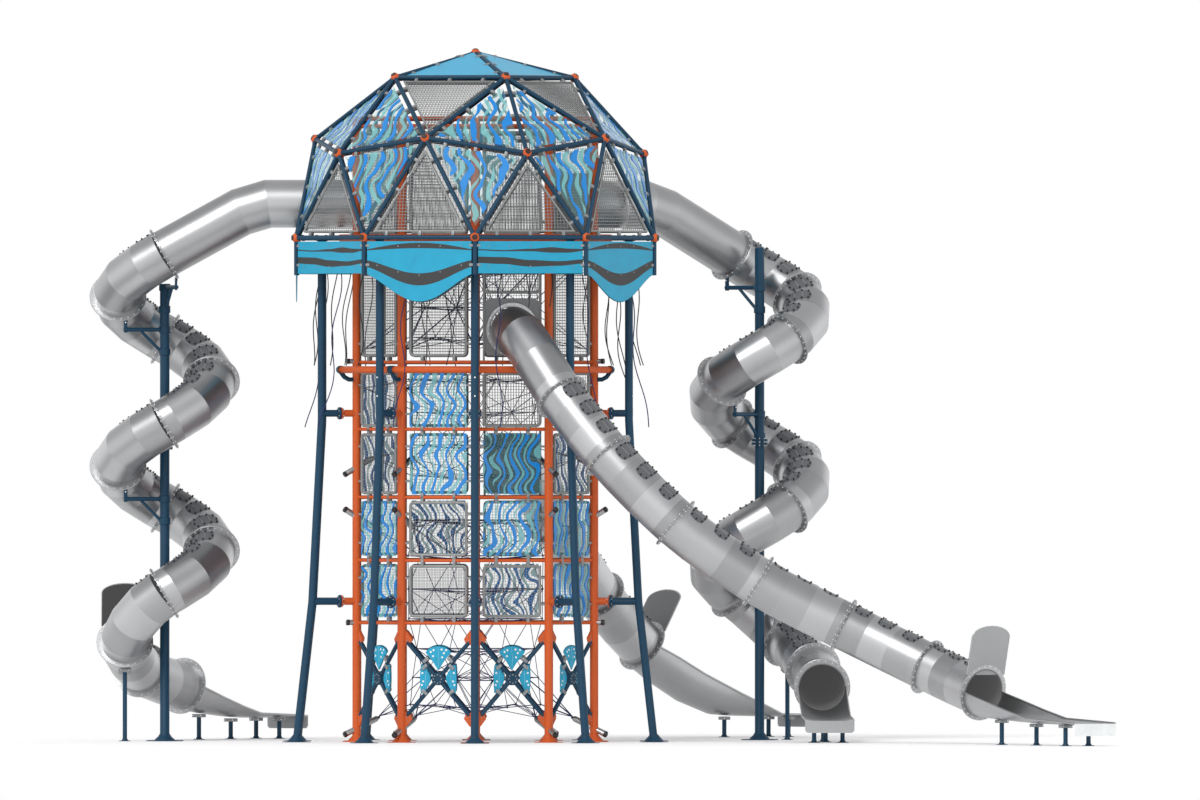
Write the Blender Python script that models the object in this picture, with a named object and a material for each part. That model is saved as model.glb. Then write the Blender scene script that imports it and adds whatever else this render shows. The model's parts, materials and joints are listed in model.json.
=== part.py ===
"""A ten-sided play tower under a faceted dome, with four steel tube slides.

Every piece is worked out round the tower's own axis, with the ground at z = 0. An azimuth is counted in
degrees from -Y, the front, towards +X, so the ten posts stand at azimuths 0, 36, 72 and so on, and the
ten faces between them look out at 18, 54, 90 and so on. At the end the whole is set down with that axis
off the origin, which is then the middle of the footprint.
"""

import math

import bmesh
import bpy
from mathutils import Vector

# Driving dimensions, in metres and degrees
GAP = 0.0003
BAYS = 10
BAY_STEP = 360 / BAYS
UP = Vector((0, 0, 1))
TOWER_AXIS = (-2.065, -0.346, 0)

FOOT = ((0.24, 0), (0.24, 0.014), (0.15, 0.014))
FOOT_TOP = 0.10

POST_RING = 2.0825
POST_RADIUS = 0.07
POST_TOP = 10.40
POST_SIDES = 10
POST_FLAT = POST_RADIUS * math.cos(math.pi / POST_SIDES)

RAIL_RADIUS = 0.034
RAIL_HALF = RAIL_RADIUS * math.cos(math.pi / 4)
RAIL_LEVELS = (1.989, 3.031, 4.083, 5.215, 6.334, 8.345, 10.27, 10.40)
PANEL_ROWS = ((2.08, 2.96), (3.10, 4.02), (4.13, 5.15), (5.25, 6.17), (6.42, 8.25), (8.46, 10.18))
PANEL_HALF_WIDTH = 0.4925
PANEL_HALF_THICKNESS = 0.02
TAB_HALF_WIDTH = 0.15

LEG_PATH = ((3.123, 0.10), (2.860, 2.343), (2.694, 5.37), (2.694, 8.3687))
LEG_FOOT = 3.135
LEG_SIDES = 8
LEG_RADIUS = 0.067
STUB_LEVELS = (2.343, 5.481)
STUB_RADIUS = 0.06
STUB_JOINT = 2.366

DECK_LEVELS = (4.08, 6.33, 8.39)
DECK_HALF_THICKNESS = 0.03
DECK_HOLE = 0.55

BEAM_RING = 2.363
BEAM_RADIUS = 0.058
LOWER_BEAM = 6.209
DOME_BASE = 8.408
ARM_HALF = 0.039

DOME_RADIUS = 3.14
STRUT_HALF = 0.03
STRUT_RIM = 0.022
HUB_HALF = 0.06
DOME_INSET = 0.06
DOME_PANEL_HALF = 0.02

SKIRT_TOP = 8.342
SKIRT_BOTTOM = 7.807
SKIRT_SCALLOP = 0.467
SKIRT_HALF_THICKNESS = 0.008

TUBE_RADIUS = 0.40
TUBE_WALL = 0.02
TUBE_SIDES = 8
FLANGE_RADIUS = 0.475
FLANGE_HALF = 0.02
TROUGH_HALF = 0.41
TROUGH_STRIPS = 6
SLIDE_LEG_RADIUS = 0.042

TENTACLE_BAR = 0.022
TENTACLE_RING = LEG_PATH[-1][0] - LEG_RADIUS * math.cos(math.pi / LEG_SIDES) - TENTACLE_BAR - GAP
TENTACLE_SEGMENTS = 20
TENTACLE_TOP = 8.30
ROPE_RADIUS = 0.009


def heading(azimuth):
    """The level direction that looks out at that azimuth."""
    turn = math.radians(azimuth)
    return Vector((math.sin(turn), -math.cos(turn), 0))


def right_of(azimuth):
    """The level direction to the right hand of someone who walks out at that azimuth."""
    turn = math.radians(azimuth)
    return Vector((-math.cos(turn), -math.sin(turn), 0))


def place(azimuth, radius, height):
    return heading(azimuth) * radius + UP * height


def ring(centre, along, radius, sides, phase=0.0):
    """Points round a centre, in the plane square to along, counted from the lowest side."""
    along = along.normalized()
    across = along.cross(UP) if abs(along.z) < 0.99 else Vector((1, 0, 0))
    across.normalize()
    top = across.cross(along)
    turns = [2 * math.pi * (i + phase) / sides for i in range(sides)]
    return [centre + radius * (math.sin(t) * across - math.cos(t) * top) for t in turns]


def upright_ring(azimuth, distance, height, radius, sides=POST_SIDES):
    """Points round an upright piece, with one flat side facing straight out from the tower."""
    centre = place(azimuth, distance, height)
    first = math.radians(azimuth) + math.pi / sides
    turns = [first + 2 * math.pi * i / sides for i in range(sides)]
    return [centre + radius * Vector((math.sin(t), -math.cos(t), 0)) for t in turns]


def loft(rings, wrap=False, fold=None):
    """A closed solid through the rings, capped at both ends, or joined end to end where it wraps.

    Where fold is given, the points after it run back along the points before it, and each pair of
    facing strips is split into triangles the same way, so that a thin wall never crosses itself.
    """
    mesh = bmesh.new()
    loops = [[mesh.verts.new(point) for point in points] for points in rings]
    pairs = list(zip(loops, loops[1:]))
    if wrap:
        pairs.append((loops[-1], loops[0]))
    else:
        mesh.faces.new(loops[0])
        mesh.faces.new(loops[-1])
    for near, far in pairs:
        for i in range(len(near)):
            j = (i + 1) % len(near)
            if fold is None:
                mesh.faces.new((near[i], near[j], far[j], far[i]))
            elif i <= fold:
                mesh.faces.new((near[i], near[j], far[j]))
                mesh.faces.new((near[i], far[j], far[i]))
            else:
                mesh.faces.new((near[i], near[j], far[i]))
                mesh.faces.new((near[j], far[j], far[i]))
    bmesh.ops.recalc_face_normals(mesh, faces=mesh.faces)
    if mesh.calc_volume(signed=True) < 0:
        bmesh.ops.reverse_faces(mesh, faces=mesh.faces)
    return mesh


def bar(start, end, radius, sides=6, phase=0.0):
    along = end - start
    return loft([ring(start, along, radius, sides, phase), ring(end, along, radius, sides, phase)])


def slab(outline, thickness_half, normal):
    """A flat plate of that outline, as thick on both sides of it."""
    offset = normal.normalized() * thickness_half
    return loft([[point - offset for point in outline], [point + offset for point in outline]])


def block(centre, axes, halves):
    """A box with its half sizes along three directions."""
    x, y, z = (axis.normalized() * half for axis, half in zip(axes, halves))
    return slab([centre - x - y, centre + x - y, centre + x + y, centre - x + y], halves[2], z)


def make_object(name, mesh, finish=None, collection=None):
    data = bpy.data.meshes.new(name)
    mesh.to_mesh(data)
    mesh.free()
    if finish:
        data.materials.append(finish)
    obj = bpy.data.objects.new(name, data)
    (collection or bpy.context.scene.collection).objects.link(obj)
    return obj


def fuse(name, pieces, finish, cutters=()):
    """One closed body from pieces that overlap, less whatever the cutters take away."""
    body = make_object(name, pieces[0], finish)
    helpers = []
    for operation, others in (("UNION", pieces[1:]), ("DIFFERENCE", cutters)):
        if not others:
            continue
        group = bpy.data.collections.new(f"{name} {operation}")
        bpy.context.scene.collection.children.link(group)
        helpers.append(group)
        for other in others:
            helper = make_object(f"{name} helper", other, collection=group)
            helper.hide_render = True
            helper.display_type = "WIRE"
        modifier = body.modifiers.new(operation.title(), "BOOLEAN")
        modifier.operation = operation
        modifier.operand_type = "COLLECTION"
        modifier.collection = group
    graph = bpy.context.evaluated_depsgraph_get()
    joined = bpy.data.meshes.new_from_object(body.evaluated_get(graph))
    body.modifiers.clear()
    body.data = joined
    joined.materials.clear()
    joined.materials.append(finish)
    for group in helpers:
        for helper in list(group.objects):
            bpy.data.objects.remove(helper)
        bpy.data.collections.remove(group)
    return body


def finish(name, colour, roughness, metallic=0.0):
    material = bpy.data.materials.new(name)
    material.use_nodes = True
    shader = material.node_tree.nodes["Principled BSDF"]
    shader.inputs["Base Color"].default_value = (*colour, 1)
    shader.inputs["Roughness"].default_value = roughness
    shader.inputs["Metallic"].default_value = metallic
    return material


# Tower: posts, outer legs, sides, decks and ring beams


def stub(azimuth, height, inner, outer, flanged):
    """Half of the short tube that ties a post to its outer leg, with or without a flange at its end."""
    lip = 0.03
    radii = [(inner, STUB_RADIUS), (outer - lip, STUB_RADIUS), (outer - lip, 0.10), (outer, 0.10)]
    if not flanged:
        radii = [(inner, 0.08), (outer, 0.06)]
    out = heading(azimuth)
    return loft([ring(place(azimuth, r, height), out, size, 6, 0.5) for r, size in radii])


def foot_rings(azimuth, distance, sides):
    """The plate on the ground and the foot of the cone over it, round an upright tube."""
    return [upright_ring(azimuth, distance, height, size, sides) for size, height in FOOT]


def face_frame(bay):
    """The start post, the direction along the face and the outward direction of one tower face."""
    start = place(bay * BAY_STEP, POST_RING, 0)
    end = place((bay + 1) * BAY_STEP, POST_RING, 0)
    return start, (end - start).normalized(), heading((bay + 0.5) * BAY_STEP), (end - start).length


def brace_arm(bay, low, high):
    """One arm of the cross brace low on a face, from its own post to the next one's flat side."""
    start, along, out, span = face_frame(bay)
    half = 0.025
    rings = []
    for distance, height in ((0, low), (span - POST_FLAT - GAP, high)):
        centre = start + along * distance + UP * height
        rings.append([centre + out * a * half + UP * b * half for a, b in ((-1, -1), (1, -1), (1, 1), (-1, 1))])
    return loft(rings)


def tower_post(bay, orange):
    azimuth = bay * BAY_STEP
    shaft = foot_rings(azimuth, POST_RING, POST_SIDES)
    shaft += [upright_ring(azimuth, POST_RING, height, POST_RADIUS) for height in (FOOT_TOP, POST_TOP)]
    pieces = [loft(shaft)]
    pieces += [stub(azimuth, height, POST_RING, STUB_JOINT - GAP / 2, True) for height in STUB_LEVELS]
    pieces += [brace_arm(bay, 0.36, 1.76), brace_arm(bay, 1.76, 0.36)]
    return fuse(f"tower_post_{bay + 1:02d}", pieces, orange)


def leg_distance(height):
    for (low_r, low_z), (high_r, high_z) in zip(LEG_PATH, LEG_PATH[1:]):
        if height <= high_z:
            return low_r + (high_r - low_r) * (height - low_z) / (high_z - low_z)
    return LEG_PATH[-1][0]


def outer_leg(bay, blue):
    azimuth = bay * BAY_STEP
    rings = foot_rings(azimuth, LEG_FOOT, LEG_SIDES)
    rings += [upright_ring(azimuth, distance, height, LEG_RADIUS, LEG_SIDES) for distance, height in LEG_PATH]
    pieces = [loft(rings)]
    for height in STUB_LEVELS:
        pieces.append(stub(azimuth, height, STUB_JOINT + GAP / 2, leg_distance(height), False))
    return fuse(f"outer_leg_{bay + 1:02d}", pieces, blue)


def face_plate(bay, low, high, tab_high):
    """A panel between the rails, with a tab that reaches into the rail above it."""
    start, along, out, span = face_frame(bay)
    middle = start + along * span / 2
    w, t = PANEL_HALF_WIDTH, TAB_HALF_WIDTH
    outline = [(-w, low), (w, low), (w, high), (t, high), (t, tab_high), (-t, tab_high), (-t, high), (-w, high)]
    return slab([middle + along * x + UP * z for x, z in outline], PANEL_HALF_THICKNESS, out)


ENTRY_HALF_WIDTH = 0.47
ENTRY_ROWS = {0: (4,), 4: (2,), 3: (5,), 7: (5,)}
TRANSOM_BOTTOM = 7.47
JAMB_HALF = 0.02


def face_bar(bay, x, low, high):
    """An upright bar of a face, at a distance x from its middle."""
    start, along, out, span = face_frame(bay)
    centre = start + along * (span / 2 + x) + UP * (low + high) / 2
    return block(centre, (along, out, UP), (JAMB_HALF, JAMB_HALF, (high - low) / 2))


def tower_side(bay, grey):
    start, along, out, span = face_frame(bay)
    reach = POST_FLAT + GAP
    pieces = []
    for level in RAIL_LEVELS:
        lift = UP * level
        pieces.append(bar(start + along * reach + lift, start + along * (span - reach) + lift, RAIL_RADIUS, 4, 0.5))
    for row, (low, high) in enumerate(PANEL_ROWS):
        below, above = RAIL_LEVELS[row : row + 2]
        if row == len(PANEL_ROWS) - 1:
            above = RAIL_LEVELS[-1]
        if row not in ENTRY_ROWS.get(bay, ()):
            pieces.append(face_plate(bay, below, high, above))
            continue
        jamb = ENTRY_HALF_WIDTH + GAP + JAMB_HALF
        pieces += [face_bar(bay, x, below, above) for x in (-jamb, jamb)]
        if row == 4:
            pieces.append(face_plate(bay, TRANSOM_BOTTOM, high, above))
    return fuse(f"tower_side_{bay + 1:02d}", pieces, grey)


def deck(name, level, black):
    """A ten-sided floor with a round way through it for the climbing net, cut back at each post."""
    edge = POST_RING * math.cos(math.radians(BAY_STEP / 2)) - RAIL_HALF - GAP
    corner = POST_RING - POST_FLAT - GAP
    half_turn = math.radians(BAY_STEP / 2)
    side = (edge - corner * math.cos(half_turn)) / math.sin(half_turn)
    outer, inner = [], []
    for bay in range(BAYS):
        azimuth = bay * BAY_STEP
        across = -right_of(azimuth)
        for sign in (-1, 1):
            outer.append(heading(azimuth) * corner + across * side * sign)
            inner.append(heading(azimuth + sign * BAY_STEP / 4) * DECK_HOLE)
    top, bottom = UP * (level + DECK_HALF_THICKNESS), UP * (level - DECK_HALF_THICKNESS)
    rings = [[p + top for p in outer], [p + bottom for p in outer]]
    rings += [[p + bottom for p in inner], [p + top for p in inner]]
    body = loft(rings, wrap=True)
    return make_object(name, body, black)


def ring_beam(level):
    """A ten-sided ring of tube outside the posts."""
    rings = []
    for bay in range(BAYS):
        azimuth = bay * BAY_STEP
        rings.append(ring(place(azimuth, BEAM_RING, level), right_of(azimuth), BEAM_RADIUS, 6, 0.5))
    return loft(rings, wrap=True)


def lower_ring_beam(orange):
    pieces = [ring_beam(LOWER_BEAM)]
    inner = POST_RING + POST_FLAT + GAP
    for bay in range(BAYS):
        azimuth = bay * BAY_STEP
        side = right_of(azimuth) * 0.02
        rings = []
        for distance, low, high in ((inner, 5.99, 6.16), (BEAM_RING, 6.17, 6.23)):
            foot, head = place(azimuth, distance, low), place(azimuth, distance, high)
            rings.append([foot - side, foot + side, head + side, head - side])
        pieces.append(loft(rings))
    return fuse("lower_ring_beam", pieces, orange)


def dome_support_ring(orange):
    """The upper ring beam with the ten arms that carry the foot of the dome."""
    pieces = [ring_beam(DOME_BASE)]
    for bay in range(BAYS):
        azimuth = bay * BAY_STEP
        inner = place(azimuth, POST_RING + POST_FLAT + GAP, DOME_BASE)
        outer = place(azimuth, DOME_RADIUS - HUB_HALF - GAP, DOME_BASE)
        pieces.append(bar(inner, outer, ARM_HALF / math.cos(math.pi / 4), 4, 0.5))
    return fuse("dome_support_ring", pieces, orange)


# Dome


def dome_points():
    """The four levels of the dome's corners: apex, upper ring, middle ring and base ring."""
    def at(azimuth, level_radius, level_height):
        return place(azimuth, DOME_RADIUS * level_radius, DOME_BASE + DOME_RADIUS * level_height)

    fifth = 360 / 5
    return {
        "apex": at(0, 0, 1),
        "upper": [at(18 + fifth * k, 0.5257, 0.8507) for k in range(5)],
        "five": [at(18 + fifth * k, 0.8944, 0.4472) for k in range(5)],
        "six": [at(54 + fifth * k, 0.8507, 0.5257) for k in range(5)],
        "base": [at(BAY_STEP * k, 1, 0) for k in range(BAYS)],
    }


def dome_faces(corners):
    """The dome's triangles by tier, each tier in order round the dome, so that neighbours share an edge."""
    roof, upper, lower = [], [], []
    for k in range(5):
        n = (k + 1) % 5
        this, following = corners["upper"][k], corners["upper"][n]
        five, next_five, six = corners["five"][k], corners["five"][n], corners["six"][k]
        base = [corners["base"][(2 * k + i) % BAYS] for i in range(4)]
        roof.append((corners["apex"], this, following))
        upper += [(this, five, six), (this, six, following), (following, six, next_five)]
        lower += [(five, base[0], base[1]), (five, base[1], six), (six, base[1], base[2]), (six, base[2], next_five)]
    return {"roof": roof, "upper": upper, "lower": lower}


def shared_edges(faces):
    """The edges that two triangles of one tier share, with the two triangles' middles."""
    edges = {}
    for face in faces:
        middle = sum(face, Vector()) / 3
        for i in range(3):
            a, b = face[i], face[(i + 1) % 3]
            key = tuple(sorted(tuple(round(value, 4) for value in point) for point in (a, b)))
            edges.setdefault(key, []).append((a, b, middle))
    return [found for found in edges.values() if len(found) == 2]


def hub(azimuth, distance, height):
    """A block where struts meet, with a flat side facing straight in towards the tower."""
    size = HUB_HALF / math.cos(math.pi / 4)
    return loft([upright_ring(azimuth, distance, z, size, 4) for z in (height - HUB_HALF, height + HUB_HALF)])


def strut_axes(a, b):
    """Along a strut, across it, and straight out of the dome."""
    along = (b - a).normalized()
    out = (a + b) / 2 - UP * DOME_BASE
    out = (out - along * out.dot(along)).normalized()
    return along, out.cross(along), out


def strut_end(point, side):
    """Where a strut's outer (1) or inner (-1) middle line ends at a corner of the dome."""
    out = (point - UP * DOME_BASE).normalized()
    drop = STRUT_HALF if point.z < DOME_BASE + 0.01 else 0
    return point + out * side * STRUT_HALF - UP * drop


def clamp(a, b):
    """A block under a strut that holds the panels on either side of it together."""
    along, across, out = strut_axes(a, b)
    middle = (strut_end(a, -1) + strut_end(b, -1)) / 2 - out * (2 * GAP + 0.02)
    return block(middle, (along, across, out), (0.04, 0.14, 0.02))


def inset(face, distance):
    """The corners of a triangle drawn in by that distance from each side."""
    a, b, c = face
    sides = [(b - c).length, (c - a).length, (a - b).length]
    centre = (a * sides[0] + b * sides[1] + c * sides[2]) / sum(sides)
    inner_radius = (b - a).cross(c - a).length / sum(sides)
    scale = 1 - distance / inner_radius
    return [centre + (point - centre) * scale for point in face]


def lattice(every):
    """The struts round the triangles as one shell, with a triangular way through each face."""
    mesh = bmesh.new()
    corner_verts = {}

    def corner(point):
        key = tuple(round(value, 4) for value in point)
        if key not in corner_verts:
            corner_verts[key] = [mesh.verts.new(strut_end(point, side)) for side in (1, -1)]
        return corner_verts[key]

    for face in every:
        a, b, c = face
        normal = (b - a).cross(c - a).normalized()
        if normal.dot(a - UP * DOME_BASE) < 0:
            normal = -normal
        rims = []
        for point in inset(face, STRUT_HALF):
            rims.append([mesh.verts.new(point + normal * side * STRUT_RIM) for side in (1, -1)])
        for i in range(3):
            j = (i + 1) % 3
            here, there = corner(face[i]), corner(face[j])
            for layer in (0, 1):
                mesh.faces.new((here[layer], there[layer], rims[j][layer]))
                mesh.faces.new((here[layer], rims[j][layer], rims[i][layer]))
            mesh.faces.new((rims[i][0], rims[j][0], rims[j][1], rims[i][1]))
            if max(face[i].z, face[j].z) < DOME_BASE + 0.01:
                mesh.faces.new((here[0], there[0], there[1], here[1]))
    bmesh.ops.recalc_face_normals(mesh, faces=mesh.faces)
    if mesh.calc_volume(signed=True) < 0:
        bmesh.ops.reverse_faces(mesh, faces=mesh.faces)
    return mesh


def dome_frame(faces, blue):
    pieces = [lattice([face for tier in faces.values() for face in tier])]
    pieces += [hub(BAY_STEP * bay, DOME_RADIUS, DOME_BASE) for bay in range(BAYS)]
    return fuse("dome_frame", pieces, blue)


def dome_plate(face):
    """A triangle drawn in from the struts round it."""
    a, b, c = face
    return slab(inset(face, DOME_INSET), DOME_PANEL_HALF, (b - a).cross(c - a))


def dome_tier(name, faces, material, passing=()):
    """The panels of one tier, held together by clamps that go round the struts between them."""
    pieces = [dome_plate(face) for face in faces]
    pieces += [clamp(a, b) for (a, b, _), _ in shared_edges(faces)]
    return fuse(name, pieces, material, passing)


def skirt(blue):
    """The hanging boards round the foot of the dome, every other one with a deep scallop."""
    pieces = []
    for bay in range(BAYS):
        azimuth = bay * BAY_STEP
        start = place(azimuth, DOME_RADIUS, 0)
        end = place(azimuth + BAY_STEP, DOME_RADIUS, 0)
        top = start + UP * (DOME_BASE - HUB_HALF - GAP)
        pieces.append(loft([upright_ring(azimuth, DOME_RADIUS, z, 0.045, 4) for z in (SKIRT_BOTTOM - 0.02, top.z)]))
        steps = 6 if bay % 2 else 1
        outline = [start + UP * SKIRT_TOP, end + UP * SKIRT_TOP]
        for step in range(steps + 1):
            t = 1 - step / steps
            drop = SKIRT_SCALLOP * math.sin(math.pi * t) ** 1.5 if bay % 2 else 0
            outline.append(start.lerp(end, t) + UP * (SKIRT_BOTTOM - drop))
        pieces.append(slab(outline, SKIRT_HALF_THICKNESS, heading(azimuth + BAY_STEP / 2)))
    return fuse("dome_skirt", pieces, blue)


# Slides


def station(point, azimuth, slope):
    """A point of a slide's middle line, with the direction that it runs there."""
    fall = math.radians(slope)
    return Vector(point), heading(azimuth) * math.cos(fall) - UP * math.sin(fall)


def blend(first, second, steps):
    """Stations on a smooth curve after the first one, up to the second."""
    (p0, t0), (p1, t1) = first, second
    span = (p1 - p0).length
    found = []
    for step in range(1, steps + 1):
        t = step / steps
        s = 1 - t
        point = p0 * (s * s * (1 + 2 * t)) + p1 * (t * t * (3 - 2 * t))
        point += t0 * (span * t * s * s) - t1 * (span * t * t * s)
        along = (p1 - p0) * (6 * t * s) + t0 * span * (s * (1 - 3 * t)) + t1 * span * (t * (3 * t - 2))
        found.append((point, along.normalized()))
    found[-1] = (p1, t1)
    return found


def route(stations, steps):
    """The whole middle line through some stations, with the index of each of them on it."""
    line, marks = [stations[0]], [0]
    for first, second, count in zip(stations, stations[1:], steps):
        line += blend(first, second, count)
        marks.append(len(line) - 1)
    return line, marks


def tube(line, flanges, first_flange=True):
    """A hollow tube with its end flanges and any flanges between."""
    outer, inner = [], []
    last = len(line) - 1
    for i, (point, along) in enumerate(line):
        if i == 0:
            face = point + along * GAP / 2
            steps = [(face, TUBE_RADIUS)]
            if first_flange:
                back = point + along * FLANGE_HALF
                steps = [(face, FLANGE_RADIUS), (back, FLANGE_RADIUS), (back, TUBE_RADIUS)]
        elif i == last:
            face = point - along * GAP / 2
            back = point - along * FLANGE_HALF
            steps = [(back, TUBE_RADIUS), (back, FLANGE_RADIUS), (face, FLANGE_RADIUS)]
        elif i in flanges:
            face, lip = point, along * FLANGE_HALF
            steps = [(point - lip, TUBE_RADIUS), (point, FLANGE_RADIUS), (point + lip, TUBE_RADIUS)]
        else:
            face = point
            steps = [(point, TUBE_RADIUS)]
        outer += [ring(centre, along, size, TUBE_SIDES) for centre, size in steps]
        inner.append(ring(face, along, TUBE_RADIUS - TUBE_WALL, TUBE_SIDES))
    return loft(outer + inner[::-1], wrap=True)


def entry(name, azimuth, axis_height, plate_low, plate_high, line, steel):
    """The start of a slide: the plate in the tower's face and the first length of tube behind it."""
    out = heading(azimuth)
    apothem = POST_RING * math.cos(math.radians(BAY_STEP / 2))
    middle = out * apothem + UP * (plate_low + plate_high) / 2
    plate = block(middle, (right_of(azimuth), UP, out), (ENTRY_HALF_WIDTH, (plate_high - plate_low) / 2, 0.015))
    mouth = out * apothem + UP * axis_height
    bore = loft([ring(mouth + out * d, out, TUBE_RADIUS - TUBE_WALL, TUBE_SIDES) for d in (-0.1, 0.05)])
    return fuse(name, [plate, tube(line, (), first_flange=False)], steel, [bore])


def trough_ring(floor, side, top, rim):
    """The cross-section of an open run-out: an arc a little wider than the tube, with its edges rim high."""
    count = TROUGH_STRIPS
    points = []
    for wall, order in ((0, range(count + 1)), (TUBE_WALL, range(count, -1, -1))):
        half, height = TROUGH_HALF - wall, rim - wall
        curve = (half * half + height * height) / (2 * height)
        reach = math.asin(min(1.0, half / curve))
        for i in order:
            turn = reach * (2 * i / count - 1)
            points.append(floor + side * curve * math.sin(turn) + top * (wall + curve * (1 - math.cos(turn))))
    return points


def trough(mouth, stations):
    """The open run-out from the tube's mouth, and its turned-down lip.

    A station is a floor point, an azimuth, a slope and the height of the edges over the floor.
    """
    point, along = mouth
    side = along.cross(UP).normalized()
    top = side.cross(along)
    rings = [trough_ring(point - along * 0.015 - top * TROUGH_HALF, side, top, TROUGH_HALF)]
    for floor, azimuth, slope, rim in stations:
        floor, along = station(floor, azimuth, slope)
        side = right_of(azimuth)
        rings.append(trough_ring(floor, side, side.cross(along), rim))
    end, azimuth, _, rim = stations[-1]
    middle = Vector(end) + UP * (0.5 * rim - 0.085) - heading(azimuth) * 0.01
    lip = block(middle, (right_of(azimuth), UP, heading(azimuth)), (0.415, 0.10, 0.015))
    return [loft(rings, fold=TROUGH_STRIPS), lip]


def slide_leg(x, y, top):
    return loft([ring(Vector((x, y, height)), UP, SLIDE_LEG_RADIUS, 6) for height in (0, top)])


def climb_guard(flange_point, along, reach):
    """The upright plate on a flange that keeps anyone from climbing over the tube."""
    across = along.cross(UP).normalized()
    top = across.cross(along)
    low, high = TUBE_RADIUS + 0.02, reach
    corners = ((-0.39, low), (0.39, low), (0.39, high - 0.14), (0.25, high), (-0.25, high), (-0.39, high - 0.14))
    return slab([flange_point + across * x + top * z for x, z in corners], 0.01, along)


SPIRAL_RADIUS = 0.7816
SPIRAL_PITCH = 2.831
SPIRAL_START = 5.20
SPIRAL_ENTRY_HEIGHT = 8.981
SPIRAL_FIRST_FLANGE = 8.139
SPIRAL_STEPS = 12


def spiral_frame(azimuth, extra):
    """A function that places a point by distance out from the tower, offset to the right and height."""
    out, side = heading(azimuth), right_of(azimuth)

    def at(u, v, z):
        return out * u + side * v + UP * z

    return at, SPIRAL_START + extra


def spiral_station(azimuth, extra, turn):
    """A station on the helix, after turning that many degrees to the right from the first flange."""
    at, start = spiral_frame(azimuth, extra)
    angle = math.radians(turn)
    height = SPIRAL_FIRST_FLANGE - SPIRAL_PITCH * turn / 360
    point = at(start + SPIRAL_RADIUS * math.sin(angle), SPIRAL_RADIUS * (1 - math.cos(angle)), height)
    slope = math.degrees(math.atan(SPIRAL_PITCH / (2 * math.pi * SPIRAL_RADIUS)))
    return station(point, azimuth - turn, slope)


def spiral_slide(side, azimuth, extra, arms, pole_top, steel, blue):
    """One spiral slide: entry, two turns of tube, exit with run-out, and the pole that carries it."""
    at, start = spiral_frame(azimuth, extra)
    face = POST_RING * math.cos(math.radians(BAY_STEP / 2))
    entry_line = [
        station(at(face - 0.015, 0, SPIRAL_ENTRY_HEIGHT), azimuth, 0),
        station(at(3.465, 0, SPIRAL_ENTRY_HEIGHT), azimuth, 8),
        station(at(3.921, 0, 8.843), azimuth, 23),
        spiral_station(azimuth, extra, 0),
    ]
    entry(f"{side}_spiral_entry", azimuth, SPIRAL_ENTRY_HEIGHT, 8.46, 9.50, entry_line, steel)
    per_quarter = SPIRAL_STEPS // 4
    step = 360 / SPIRAL_STEPS
    for name, low in (("upper_turn", 0), ("lower_turn", 1)):
        line = [spiral_station(azimuth, extra, (low * SPIRAL_STEPS + i) * step) for i in range(SPIRAL_STEPS + 1)]
        flanges = {per_quarter, 2 * per_quarter, 3 * per_quarter}
        make_object(f"{side}_spiral_{name}", tube(line, flanges), steel)
    spiral_exit(side, azimuth, extra, steel)
    spiral_pole(side, azimuth, extra, arms, pole_top, blue)


LAST_BEND = 0.665
LAST_DROP = 0.818
MOUTH = (4.927, 2.92, 0.902)
MOUTH_TURN = 124
RUN_OUT = (
    (0.6, 0.425, 6, 0.29),
    (1.2, 0.375, 4, 0.18),
    (1.75, 0.35, 1, 0.08),
    (2.95, 0.34, 0, 0.05),
    (3.12, 0.33, 0, 0.045),
)


def spiral_exit(side, azimuth, extra, steel):
    """The last tighter bend, the straightening length and the open run-out."""
    at, start = spiral_frame(azimuth, extra)
    begin = spiral_station(azimuth, extra, 720)
    low = begin[0].z - LAST_DROP
    guard = station(at(start + LAST_BEND, LAST_BEND, low), azimuth - 90, 27)
    between = station(at(start + LAST_BEND - 0.27, LAST_BEND + 1.10, low - 0.48), azimuth - 110, 17)
    mouth = station(at(MOUTH[0] + extra, MOUTH[1], MOUTH[2]), azimuth - MOUTH_TURN, 9)
    line, marks = route([begin, guard, between, mouth], (3, 2, 2))
    exit_azimuth = azimuth - MOUTH_TURN
    ahead = heading(exit_azimuth)
    ground = Vector((mouth[0].x, mouth[0].y, 0))
    run = []
    for distance, floor, slope, rim in RUN_OUT:
        run.append((ground + ahead * distance + UP * floor, exit_azimuth, slope, rim))
    pieces = [tube(line, set(marks)), *trough(mouth, run)]
    aside = right_of(exit_azimuth)
    for distance, offset, top in ((0.48, 0, 0.45), (1.42, 0, 0.37), (2.515, -0.237, 0.373), (2.515, 0.237, 0.373)):
        foot = ground + ahead * distance + aside * offset
        pieces.append(slide_leg(foot.x, foot.y, top))
    prop, along = guard
    pieces.append(climb_guard(prop, along, 1.09))
    pieces.append(slide_leg(prop.x, prop.y, prop.z - TUBE_RADIUS - 0.01))
    fuse(f"{side}_spiral_exit", pieces, steel)


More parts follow.
